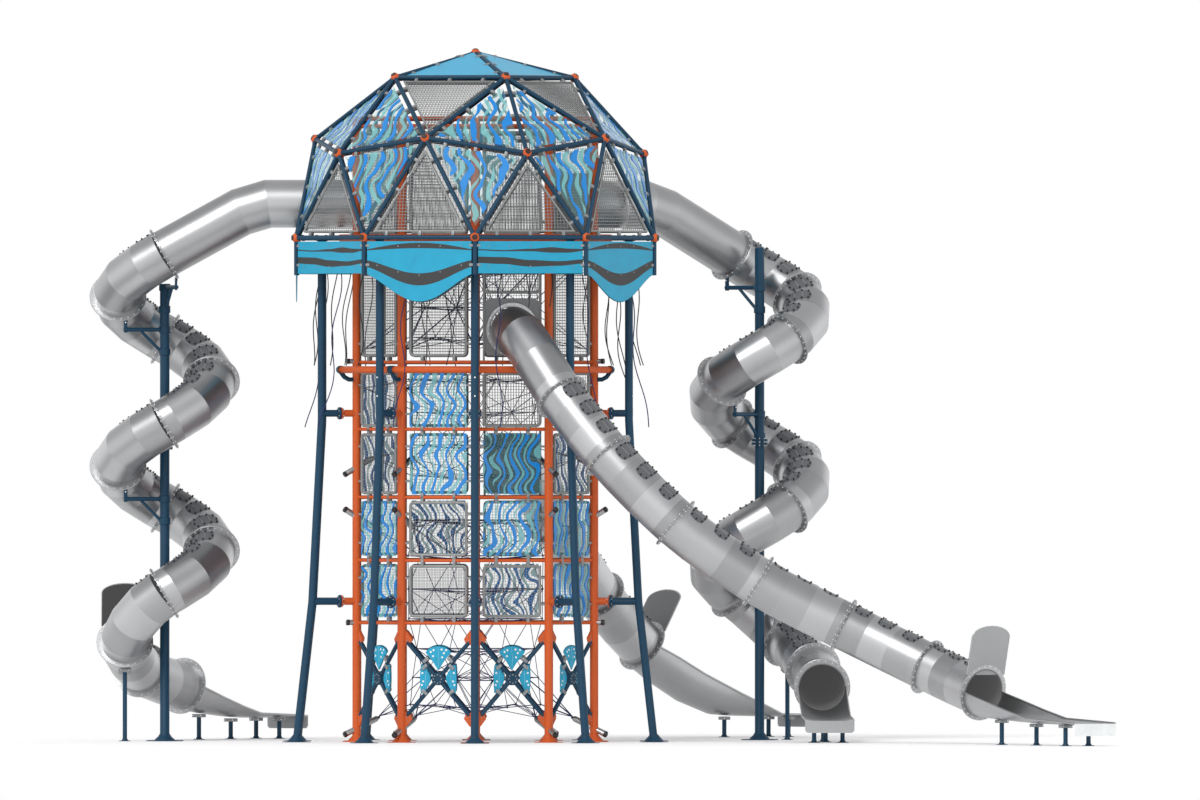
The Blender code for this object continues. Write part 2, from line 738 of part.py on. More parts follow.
def spiral_pole(side, azimuth, extra, arms, top, blue):
    """The pole up the middle of the spiral, with an arm out to the underside of some flanges."""
    at, start = spiral_frame(azimuth, extra)
    axis = at(start, SPIRAL_RADIUS, 0)
    sizes = ((0.31, 0), (0.31, 0.016), (0.17, 0.016), (0.10, 0.11), (0.08, 0.11), (0.08, top))
    pieces = [loft([ring(axis + UP * height, UP, size, 8, 0.5) for size, height in sizes])]
    for turn in arms:
        point, along = spiral_station(azimuth, extra, turn)
        across = along.cross(UP).normalized()
        lowest = point - across.cross(along) * FLANGE_RADIUS
        if turn % 360 == 0:
            lowest.z += FLANGE_HALF * along.z
        arm_height = lowest.z - 0.14
        tip = Vector((lowest.x, lowest.y, arm_height))
        pieces.append(bar(axis + UP * arm_height, tip, 0.035))
        level = (tip - axis - UP * arm_height).normalized()
        brace_foot = axis + level * 0.05 + UP * (arm_height - 0.38)
        pieces.append(bar(brace_foot, axis + UP * arm_height + level * 0.42, 0.025))
        height = lowest.z - GAP - arm_height + 0.04
        upright = Vector((lowest.x, lowest.y, lowest.z - GAP - height / 2))
        pieces.append(block(upright, (level, level.cross(UP), UP), (0.03, 0.03, height / 2)))
    fuse(f"{side}_spiral_pole", pieces, blue)


def long_slide(name, first_azimuth, axis_height, plate, stations, steps, splits, run, legs, guard_reach, steel):
    """A slide that swings away from the tower in one long curve."""
    start = place(first_azimuth, POST_RING * math.cos(math.radians(BAY_STEP / 2)) - 0.015, axis_height)
    line, marks = route([station(start, first_azimuth, 0), *stations], steps)
    exit_name = f"{name}_exit"
    starts = [0] + [marks[i] for i in splits]
    ends = starts[1:] + [len(line) - 1]
    names = [f"{name}_entry", f"{name}_middle", exit_name][-len(starts) :]
    names[0] = f"{name}_entry"
    for part, begin, end in zip(names, starts, ends):
        piece = line[begin : end + 1]
        flanges = {mark - begin for mark in marks if begin < mark < end}
        if part.endswith("entry"):
            entry(part, first_azimuth, axis_height, *plate, piece, steel)
        elif part != exit_name:
            make_object(part, tube(piece, flanges), steel)
        else:
            mouth, along = piece[-1]
            pieces = [tube(piece, flanges), *trough(piece[-1], run)]
            pieces.append(climb_guard(mouth - along * 0.012, along, guard_reach))
            pieces += [slide_leg(*leg) for leg in legs]
            fuse(part, pieces, steel)


def front_slide(steel):
    stations = [
        station((1.445, -3.073, 5.753), 45, 44),
        station((2.213, -3.515, 4.785), 67, 46),
        station((3.332, -3.752, 3.666), 86, 41),
        station((4.701, -3.68, 2.697), 92, 32),
        station((6.12, -3.63, 1.962), 84, 26),
        station((7.507, -4.05, 1.278), 62, 23),
        station((8.425, -4.96, 0.86), 38, 13),
    ]
    run = [
        ((8.72, -5.37, 0.42), 35, 6, 0.31),
        ((9.09, -5.90, 0.385), 34, 4, 0.19),
        ((9.452, -6.413, 0.36), 34, 1, 0.08),
        ((10.07, -7.31, 0.34), 34, 0, 0.05),
        ((10.24, -7.57, 0.33), 34, 0, 0.045),
    ]
    legs = [(8.725, -5.38, 0.44), (9.288, -6.18, 0.38), (9.752, -7.27, 0.375), (10.134, -7.012, 0.375)]
    long_slide("front_slide", 18, 6.872, (6.438, 7.39), stations, (3, 2, 2, 2, 2, 2, 2), (1, 4), run, legs, 1.12, steel)


def back_slide(steel):
    stations = [
        station((1.30, 3.70, 3.67), 156, 37),
        station((2.05, 5.20, 2.42), 149, 36),
        station((2.80, 6.20, 1.545), 134, 33),
    ]
    run = [
        ((2.965, 6.345, 0.92), 132, 31, 0.50),
        ((3.43, 6.735, 0.603), 130, 25, 0.52),
        ((3.945, 7.137, 0.382), 128, 11, 0.48),
        ((4.24, 7.36, 0.357), 127, 4, 0.37),
        ((4.65, 7.657, 0.345), 126, 2, 0.19),
        ((4.93, 7.86, 0.338), 126, 0, 0.05),
        ((5.344, 8.16, 0.33), 126, 0, 0.045),
    ]
    legs = [(4.182, 7.315, 0.37), (4.935, 8.215, 0.37), (5.269, 7.755, 0.37)]
    long_slide("back_slide", 162, 4.618, (4.13, 5.15), stations, (3, 2, 2), (1,), run, legs, 1.12, steel)


# Ropes


def climbing_net(rope):
    """The main ropes of the net: one up the middle, and spokes from it to the posts at several levels."""
    middle_low, middle_high = 0.55, 8.30
    pieces = [bar(UP * middle_low, UP * middle_high, 0.035)]
    reach = POST_RING - POST_FLAT - GAP
    for level, (hub, at_post) in enumerate(((0.62, 0.42), (2.6, 2.9), (4.6, 4.9), (7.2, 6.7))):
        for spoke in range(5):
            azimuth = (2 * spoke + level % 2) * BAY_STEP
            end = place(azimuth, reach, at_post)
            hub_point = place(azimuth, 0, hub)
            square_end = place(azimuth, reach - 0.05, at_post)
            out = heading(azimuth)
            pieces.append(loft([ring(point, out, 0.012, 3) for point in (hub_point, square_end, end)]))
    return fuse("climbing_net", pieces, rope)


LONG_ROPE = 3.05
SHORT_ROPE = 2.02
FRONT_SHORT_ROPE = 1.05
ROPE_SPREAD = 9.5


def tentacle_points(azimuth, length, wave):
    """A rope that hangs from the ring in slow waves and swings out a little at its foot."""
    count = 5
    step = 360 / TENTACLE_SEGMENTS
    off_middle = math.radians(azimuth % step - step / 2)
    start = TENTACLE_RING * math.cos(math.radians(step / 2)) / math.cos(off_middle)
    points = []
    for i in range(count + 1):
        down = length * i / count
        swing = 0.035 * down * down + 0.05 * (math.cos(2 * math.pi * down / 1.6 + wave) - math.cos(wave))
        sway = 0.05 * (math.sin(2 * math.pi * down / 1.5 + wave) - math.sin(wave))
        points.append(place(azimuth, start + swing, TENTACLE_TOP - down) + right_of(azimuth) * sway)
    return points


def tentacles(rope):
    """Three ropes under each face of the dome, one long and two short, on a ring between the legs."""
    step = 360 / TENTACLE_SEGMENTS
    circle = []
    for i in range(TENTACLE_SEGMENTS):
        azimuth = i * step
        circle.append(ring(place(azimuth, TENTACLE_RING, TENTACLE_TOP), right_of(azimuth), TENTACLE_BAR, 4))
    pieces = [loft(circle, wrap=True)]
    for bay in range(BAYS):
        for slot in range(3):
            azimuth = (bay + 0.5) * BAY_STEP + (slot - 1) * ROPE_SPREAD
            length = LONG_ROPE if slot == 0 else FRONT_SHORT_ROPE if bay == 0 else SHORT_ROPE
            points = tentacle_points(azimuth, length, 1.3 * slot + 0.9 * bay)
            pieces.append(loft([ring(point, -UP, ROPE_RADIUS, 3) for point in points]))
    return fuse("hanging_ropes", pieces, rope)


def stand_on_origin():
    """Hangs every piece on the tower axis and sets that axis down at its place in the footprint."""
    pieces = list(bpy.context.scene.objects)
    axis = bpy.data.objects.new("tower_axis", None)
    bpy.context.scene.collection.objects.link(axis)
    axis.location = TOWER_AXIS
    for piece in pieces:
        piece.parent = axis


def main():
    for old in list(bpy.data.objects):
        bpy.data.objects.remove(old)
    orange = finish("orange powder coat", (0.63, 0.10, 0.02), 0.45)
    blue = finish("steel blue powder coat", (0.018, 0.061, 0.114), 0.45)
    grey = finish("grey panel frame", (0.30, 0.32, 0.32), 0.5)
    light_blue = finish("light blue board", (0.05, 0.42, 0.65), 0.5)
    black = finish("black deck", (0.02, 0.02, 0.02), 0.8)
    steel = finish("satin stainless steel", (0.62, 0.63, 0.64), 0.3, 1.0)
    rope = finish("navy rope", (0.015, 0.02, 0.08), 0.8)
    for bay in range(BAYS):
        tower_post(bay, orange)
        outer_leg(bay, blue)
        tower_side(bay, grey)
    for name, level in zip(("lower_deck", "middle_deck", "upper_deck"), DECK_LEVELS):
        deck(name, level, black)
    lower_ring_beam(orange)
    dome_support_ring(orange)
    faces = dome_faces(dome_points())
    dome_frame(faces, blue)
    dome_tier("dome_roof_panels", faces["roof"], light_blue)
    dome_tier("dome_upper_panels", faces["upper"], light_blue)
    holes = []
    for azimuth in (-90, 126):
        out = heading(azimuth)
        ends = [out * distance + UP * SPIRAL_ENTRY_HEIGHT for distance in (2.5, 3.3)]
        holes.append(loft([ring(point, out, TUBE_RADIUS + 2 * GAP, TUBE_SIDES) for point in ends]))
    dome_tier("dome_lower_panels", faces["lower"], grey, holes)
    skirt(light_blue)
    spiral_slide("left", -90, 0.0, (0, 90, 450), 7.62, steel, blue)
    spiral_slide("right", 126, 0.11, (0, 270), 8.27, steel, blue)
    front_slide(steel)
    back_slide(steel)
    climbing_net(rope)
    tentacles(rope)
    stand_on_origin()


main()
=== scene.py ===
"""The finished look of a ten-sided play tower under a faceted dome, with four steel tube slides.

Shapes are worked out round the tower's own axis, with the ground at z = 0, and are set down on the
tower's place in the frame when a piece is finished. An azimuth is counted in degrees from -Y, the
front, towards +X, so the ten posts stand at azimuths 0, 36, 72 and so on.
"""

import json
import math

import bmesh
import bpy
from mathutils import Matrix, Vector

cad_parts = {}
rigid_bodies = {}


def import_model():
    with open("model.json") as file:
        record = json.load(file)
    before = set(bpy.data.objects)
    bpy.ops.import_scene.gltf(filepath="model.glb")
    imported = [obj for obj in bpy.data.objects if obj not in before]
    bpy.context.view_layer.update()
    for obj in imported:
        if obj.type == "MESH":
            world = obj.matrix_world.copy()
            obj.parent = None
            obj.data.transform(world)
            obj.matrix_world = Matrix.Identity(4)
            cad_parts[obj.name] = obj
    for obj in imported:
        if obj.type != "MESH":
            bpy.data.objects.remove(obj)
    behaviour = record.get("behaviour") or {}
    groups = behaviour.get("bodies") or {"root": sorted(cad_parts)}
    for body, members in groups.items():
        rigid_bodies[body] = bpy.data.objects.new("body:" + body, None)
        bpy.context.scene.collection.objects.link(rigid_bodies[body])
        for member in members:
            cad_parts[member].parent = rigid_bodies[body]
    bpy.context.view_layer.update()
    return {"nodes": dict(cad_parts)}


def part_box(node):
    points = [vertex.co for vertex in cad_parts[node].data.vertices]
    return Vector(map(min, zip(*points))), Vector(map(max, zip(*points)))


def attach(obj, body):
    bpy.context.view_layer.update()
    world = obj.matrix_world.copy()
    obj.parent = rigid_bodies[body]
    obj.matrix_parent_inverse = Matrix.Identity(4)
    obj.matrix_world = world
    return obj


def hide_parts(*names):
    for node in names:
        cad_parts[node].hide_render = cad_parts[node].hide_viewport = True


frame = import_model()

UP = Vector((0, 0, 1))
BAYS = 10
BAY_STEP = 36
POST_RING = 2.0825
POST_RADIUS = 0.07
POST_TOP = 10.40
FACE_DISTANCE = POST_RING * math.cos(math.radians(18))
RAIL_LEVELS = (1.989, 3.031, 4.083, 5.215, 6.334, 8.345, 10.27, 10.40)
PANEL_ROWS = ((2.08, 2.96), (3.10, 4.02), (4.13, 5.15), (5.25, 6.17), (6.42, 8.25), (8.46, 10.18))
PANEL_HALF_WIDTH = 0.514
WAVE_ROWS = {
    0: (2, 1), 1: (1, 0), 2: (2, 1), 3: (2,), 4: (0,),
    5: (1,), 6: (3, 2), 7: (3, 0), 8: (1, 0), 9: (3, 2),
}
ENTRY_ROWS = {0: 4, 4: 2, 3: 5, 7: 5}
ENTRY_HALF_WIDTH = 0.47
TRANSOM_BOTTOM = 7.47
LEG_PATH = ((3.135, 0.012), (3.123, 0.10), (2.860, 2.343), (2.694, 5.37), (2.694, 8.3687))
LEG_RADIUS = 0.067
STUB_LEVELS = (2.343, 5.481)
STUB_JOINT = 2.366
BEAM_RING = 2.363
BEAM_RADIUS = 0.058
LOWER_BEAM = 6.209
DOME_BASE = 8.408
DOME_RADIUS = 3.14
STRUT_RADIUS = 0.037
BALL_RADIUS = 0.077
BALL_SINK = 0.050
SKIRT_TOP = 8.342
SKIRT_BOTTOM = 7.807
SKIRT_SCALLOP = 0.467
TUBE_RADIUS = 0.40
TUBE_WALL = 0.018
BORE_RADIUS = 0.385
FLANGE_RADIUS = 0.475
TROUGH_HALF = 0.41
SPIRAL_RADIUS = 0.7816
SPIRAL_PITCH = 2.831
SPIRAL_START = 5.20
SPIRAL_FIRST_FLANGE = 8.139
SPIRAL_ENTRY_HEIGHT = 8.981
ROPE_TOP = 8.30
ROPE_RING = LEG_PATH[-1][0] - LEG_RADIUS * math.cos(math.radians(22.5)) - 0.0223
ROPE_RADIUS = 0.009
SHARP_ANGLE = math.radians(32)

deck_low, deck_high = (Vector(corner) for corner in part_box("lower_deck"))
AXIS = Vector(((deck_low.x + deck_high.x) / 2, (deck_low.y + deck_high.y) / 2, 0))


def heading(azimuth):
    """The level direction that looks out at that azimuth."""
    turn = math.radians(azimuth)
    return Vector((math.sin(turn), -math.cos(turn), 0))


def right_of(azimuth):
    """The level direction to the right hand of someone who walks out at that azimuth."""
    turn = math.radians(azimuth)
    return Vector((-math.cos(turn), -math.sin(turn), 0))


def place(azimuth, radius, height):
    return heading(azimuth) * radius + UP * height


# Finishes


class Socket:
    """A node's output, on which plain arithmetic adds Math nodes."""

    def __init__(self, finish, output):
        self.finish = finish
        self.output = output

    def math(self, operation, *values):
        return self.finish.node("ShaderNodeMath", {"operation": operation}, values)

    def __add__(self, other):
        return self.math("ADD", self, other)

    def __radd__(self, other):
        return self.math("ADD", other, self)

    def __sub__(self, other):
        return self.math("SUBTRACT", self, other)

    def __rsub__(self, other):
        return self.math("SUBTRACT", other, self)

    def __mul__(self, other):
        return self.math("MULTIPLY", self, other)

    def __rmul__(self, other):
        return self.math("MULTIPLY", other, self)

    def __truediv__(self, other):
        return self.math("DIVIDE", self, other)

    def __lt__(self, other):
        return self.math("LESS_THAN", self, other)

    def __gt__(self, other):
        return self.math("GREATER_THAN", self, other)

    def sine(self):
        return self.math("SINE", self)

    def fraction(self):
        return self.math("FRACT", self)

    def largest(self, other):
        return self.math("MAXIMUM", self, other)


class Finish:
    """A material, with one method that adds any node to it."""

    def __init__(self, name, colour, roughness, metallic=0.0, coat=0.0):
        self.material = bpy.data.materials.new(name)
        self.material.use_nodes = True
        self.tree = self.material.node_tree
        self.shader = self.tree.nodes["Principled BSDF"]
        self.colour = (*colour, 1)
        self.shader.inputs["Base Color"].default_value = self.colour
        self.shader.inputs["Roughness"].default_value = roughness
        self.shader.inputs["Metallic"].default_value = metallic
        self.shader.inputs["Coat Weight"].default_value = coat
        self.shader.inputs["Coat Roughness"].default_value = 0.15

    def node(self, kind, settings, values, output=0):
        made = self.tree.nodes.new(kind)
        for name, setting in settings.items():
            setattr(made, name, setting)
        pairs = values.items() if isinstance(values, dict) else enumerate(values)
        for key, value in pairs:
            self.feed(made.inputs[key], value)
        return Socket(self, made.outputs[output])

    def feed(self, target, value):
        if isinstance(value, Socket):
            self.tree.links.new(value.output, target)
        else:
            target.default_value = value

    def set(self, **inputs):
        for name, value in inputs.items():
            self.feed(self.shader.inputs[name.replace("_", " ")], value)

    def place(self, kind="Object"):
        return self.node("ShaderNodeTexCoord", {}, {}, kind)

    def noise(self, scale, detail=2.0, place=None, stretch=None):
        where = place or self.place()
        if stretch:
            where = self.node("ShaderNodeMapping", {}, {"Vector": where, "Scale": stretch})
        values = {"Vector": where, "Scale": scale, "Detail": detail}
        return self.node("ShaderNodeTexNoise", {}, values, "Fac")

    def blend(self, factor, first, second):
        settings = {"data_type": "RGBA"}
        return self.node("ShaderNodeMix", settings, {0: factor, 6: first, 7: second}, 2)

    def shade(self, factor, darkest, lightest):
        """The finish's own colour, from darkest to lightest times as bright by a factor."""
        low = tuple(value * darkest for value in self.colour[:3]) + (1,)
        high = tuple(min(1.0, value * lightest) for value in self.colour[:3]) + (1,)
        return self.blend(factor, low, high)

    def bump(self, height, strength, distance):
        values = {"Height": height, "Strength": strength, "Distance": distance}
        return self.node("ShaderNodeBump", {}, values)


def powder_coat(name, colour, gloss=0.5):
    """Paint baked on steel: even, slightly glossy, with a fine orange peel."""
    finish = Finish(name, colour, 0.45)
    finish.set(Specular_IOR_Level=gloss)
    tone = finish.noise(0.9, 3) * 0.7 + finish.noise(9, 2) * 0.3
    peel = finish.noise(170, 2)
    finish.set(Base_Color=finish.shade(tone, 0.86, 1.12), Roughness=0.36 + tone * 0.2)
    finish.set(Normal=finish.bump(peel, 0.08, 0.002))
    return finish


def zinc(name, colour, metallic, roughness):
    """Galvanised steel with its soft grey spangle."""
    finish = Finish(name, colour, roughness, metallic)
    values = {"Vector": finish.place(), "Scale": 60.0}
    spangle = finish.node("ShaderNodeTexVoronoi", {}, values, "Color")
    grain = finish.node("ShaderNodeRGBToBW", {}, [spangle])
    tone = grain * 0.5 + finish.noise(3, 3) * 0.5
    finish.set(Base_Color=finish.shade(tone, 0.8, 1.18), Roughness=roughness - 0.1 + tone * 0.2)
    return finish


def stainless(name, colour, roughness):
    """Satin sheet with fine brushing and slow waves. Each straight length is painted a little lighter or
    darker: a painted reflection for how each mitred length catches the light, mixed with slow random
    clouding.
    """
    finish = Finish(name, colour, roughness, 1.0)
    settings = {"attribute_name": "tone", "attribute_type": "GEOMETRY"}
    painted_length_reflection = finish.node("ShaderNodeAttribute", settings, {}, "Fac")
    cloud = finish.noise(1.6, 3)
    brushing = finish.noise(45, 3, stretch=(1, 1, 7))
    # Colour: the per-length tone is painted reflection; the cloud and the brushing are random tone of the
    # sheet.
    tone = painted_length_reflection * 0.6 + cloud * 0.3 + brushing * 0.1
    finish.set(Base_Color=finish.shade(tone, 0.74, 1.26))
    finish.set(Roughness=roughness - 0.05 + brushing * 0.1)
    finish.set(Normal=finish.bump(finish.noise(2.3, 1), 0.12, 0.02))
    return finish


def moulded(name, colour, roughness):
    """Moulded plastic or rubber with a fine grain."""
    finish = Finish(name, colour, roughness)
    tone = finish.noise(5, 3)
    grain = finish.noise(260, 1)
    finish.set(Base_Color=finish.shade(tone, 0.85, 1.15), Roughness=roughness - 0.08 + tone * 0.16)
    finish.set(Normal=finish.bump(grain, 0.1, 0.001))
    return finish


def wave_board(name, blue, teal, seed, wave):
    """A clear board printed with slow upright waves, some opaque and some half clear, with a faint glow in
    its own colours: painted light that stands in for light let through the board.
    """
    finish = Finish(name, blue, 0.22, coat=0.2)
    pitch, swing, length = wave
    spot = finish.place("UV")
    across = finish.node("ShaderNodeSeparateXYZ", {}, [spot], 0)
    height = finish.node("ShaderNodeSeparateXYZ", {}, [spot], 1)
    drift = finish.noise(1.9, 1, spot) * 0.42
    bend = (height * (2 * math.pi / length) + finish.noise(0.9, 1, spot) * 7 + seed).sine() * swing
    stripe = ((across + drift + bend) / pitch).fraction()
    swell = (finish.noise(2.6, 1, spot) - 0.5) * 0.55
    opaque = stripe < (swell + 0.27)
    half_clear = (stripe > (0.58 - swell)) * (stripe < (0.80 + swell * 0.6))
    colour = finish.blend(opaque, (*teal, 1), (*blue, 1))
    finish.set(Base_Color=colour, Alpha=(opaque * 0.97).largest(half_clear * 0.60).largest(0.10))
    # Painted light: a faint glow in the board's own colours stands in for light coming through it from
    # behind.
    finish.set(Emission_Color=colour, Emission_Strength=0.14)
    finish.set(Roughness=0.16 + finish.noise(6, 2) * 0.12)
    return finish


def braided(name, colour):
    """Braided rope: small slanting strands along the piece's own UV map."""
    finish = Finish(name, colour, 0.8)
    spot = finish.place("UV")
    around = finish.node("ShaderNodeSeparateXYZ", {}, [spot], 0)
    along = finish.node("ShaderNodeSeparateXYZ", {}, [spot], 1)
    one_way = ((along * 60 + around) * (2 * math.pi * 2)).sine()
    other_way = ((along * 60 - around) * (2 * math.pi * 2)).sine()
    strands = (one_way * other_way) * 0.5 + 0.5
    # The strands are painted lighter on their crowns and darker in the grooves between them: painted shade in
    # the grooves.
    finish.set(Base_Color=finish.shade(strands, 0.65, 1.35))
    finish.set(Normal=finish.bump(strands, 0.4, 0.002), Roughness=0.72 + strands * 0.15)
    return finish


def net_rope(name, colour):
    """Thin laid rope of the net, with a mottled surface."""
    finish = Finish(name, colour, 0.8)
    fibres = finish.noise(120, 2)
    finish.set(Base_Color=finish.shade(fibres, 0.6, 1.4), Normal=finish.bump(fibres, 0.3, 0.002))
    return finish


def rubber_floor(name, colour):
    """The dark deck covering with its fine speckle."""
    finish = Finish(name, colour, 0.85)
    speckle = finish.noise(190, 1) > 0.6
    finish.set(Base_Color=finish.blend(speckle * 0.25, finish.colour, (0.10, 0.11, 0.12, 1)))
    finish.set(Normal=finish.bump(finish.noise(120, 2), 0.2, 0.002))
    finish.set(Roughness=0.75 + finish.noise(8, 2) * 0.2)
    return finish


ORANGE = powder_coat("orange powder coat", (0.60, 0.103, 0.022), 0.25)
STEEL_BLUE = powder_coat("steel blue powder coat", (0.0095, 0.048, 0.092), 0.25)
FRAME_GREY = zinc("grey panel frame", (0.25, 0.265, 0.26), 0.2, 0.5)
WIRE_GREY = zinc("grey woven wire", (0.27, 0.28, 0.28), 0.15, 0.55)
CLAMP_GREY = zinc("cast clamp", (0.27, 0.285, 0.29), 0.3, 0.42)
BOLT_ZINC = zinc("bright bolt", (0.80, 0.81, 0.82), 0.5, 0.3)
# The inside of a tube is painted dark grey as painted shade, and given a faint glow as painted light that
# lifts it out of black.
TUBE_INSIDE_SHADE_AND_GLOW = moulded("inside of a tube in painted shade and glow", (0.13, 0.13, 0.133), 0.45)
TUBE_INSIDE_SHADE_AND_GLOW.set(Emission_Color=(0.5, 0.5, 0.51, 1), Emission_Strength=0.09)
TUBE_STEEL = stainless("satin stainless tube", (0.44, 0.445, 0.45), 0.36)
FLANGE_STEEL = stainless("stainless flange", (0.46, 0.465, 0.47), 0.38)
WINDOW_GREY = moulded("smoked window plate", (0.10, 0.105, 0.115), 0.35)
BLACK_PLASTIC = moulded("black plastic", (0.012, 0.012, 0.013), 0.4)
# The left spiral's climb guard: the same grey guard painted near black as painted shade, for a plate facing
# away from the light.
GUARD_PAINTED_SHADE = powder_coat("guard painted dark as shade", (0.012, 0.012, 0.013))
GUARD_MID = powder_coat("mid grey guard", (0.20, 0.205, 0.21))
GUARD_LIGHT = powder_coat("light grey guard", (0.36, 0.37, 0.375))
BOARD_BLUE = moulded("light blue board", (0.05, 0.385, 0.61), 0.42)
PLATE_BLUE = moulded("bright blue plate", (0.004, 0.315, 0.50), 0.45)
INLAY_DARK = moulded("dark inlay", (0.032, 0.033, 0.034), 0.55)
PALE_DOT = moulded("pale inlay", (0.78, 0.80, 0.80), 0.5)
WAVE_LOW = wave_board(
    "clear board with blue waves", (0.006, 0.19, 0.53), (0.15, 0.43, 0.46), 0.0, (0.205, 0.056, 0.58))
WAVE_DOME = wave_board(
    "clear dome board with blue waves", (0.006, 0.20, 0.56), (0.19, 0.49, 0.50), 2.0, (0.29, 0.066, 0.74))
NAVY_ROPE = braided("navy rope", (0.014, 0.020, 0.095))
GREY_ROPE = braided("dark grey rope", (0.016, 0.017, 0.020))
NET_ROPE = net_rope("navy net rope", (0.016, 0.024, 0.115))
DECK_BLACK = rubber_floor("black deck", (0.014, 0.014, 0.015))


# Shapes


def circle_points(centre, along, radius, sides, phase=0.0):
    """Points round a centre, square to a direction, counted from the lowest."""
    along = along.normalized()
    across = along.cross(UP) if abs(along.z) < 0.99 else Vector((1, 0, 0))
    across.normalize()
    top = across.cross(along)
    turns = [2 * math.pi * (i + phase) / sides for i in range(sides)]
    return [centre + radius * (math.sin(t) * across - math.cos(t) * top) for t in turns]


def slide_to_plane(row, along, at, square):
    """Each point of a row moved along a direction to the plane through a point."""
    return [point + along * ((at - point).dot(square) / along.dot(square)) for point in row]


def mitred_rings(points, radius, sides, closed=False, phase=0.0):
    """Rings of a round tube along straight lengths, each ring in the mitre between two of them."""
    count = len(points)
    runs = [(points[(i + 1) % count] - points[i]).normalized() for i in range(count if closed else count - 1)]
    row = circle_points(points[0], runs[0], radius, sides, phase)
    if closed:
        row = slide_to_plane(row, runs[0], points[0], runs[-1] + runs[0])
    rows = [row]
    for i, along in enumerate(runs):
        at_end = not closed and i == len(runs) - 1
        following = along if at_end else runs[(i + 1) % len(runs)]
        row = slide_to_plane(row, along, points[(i + 1) % count], along + following)
        rows.append(row)
    return rows


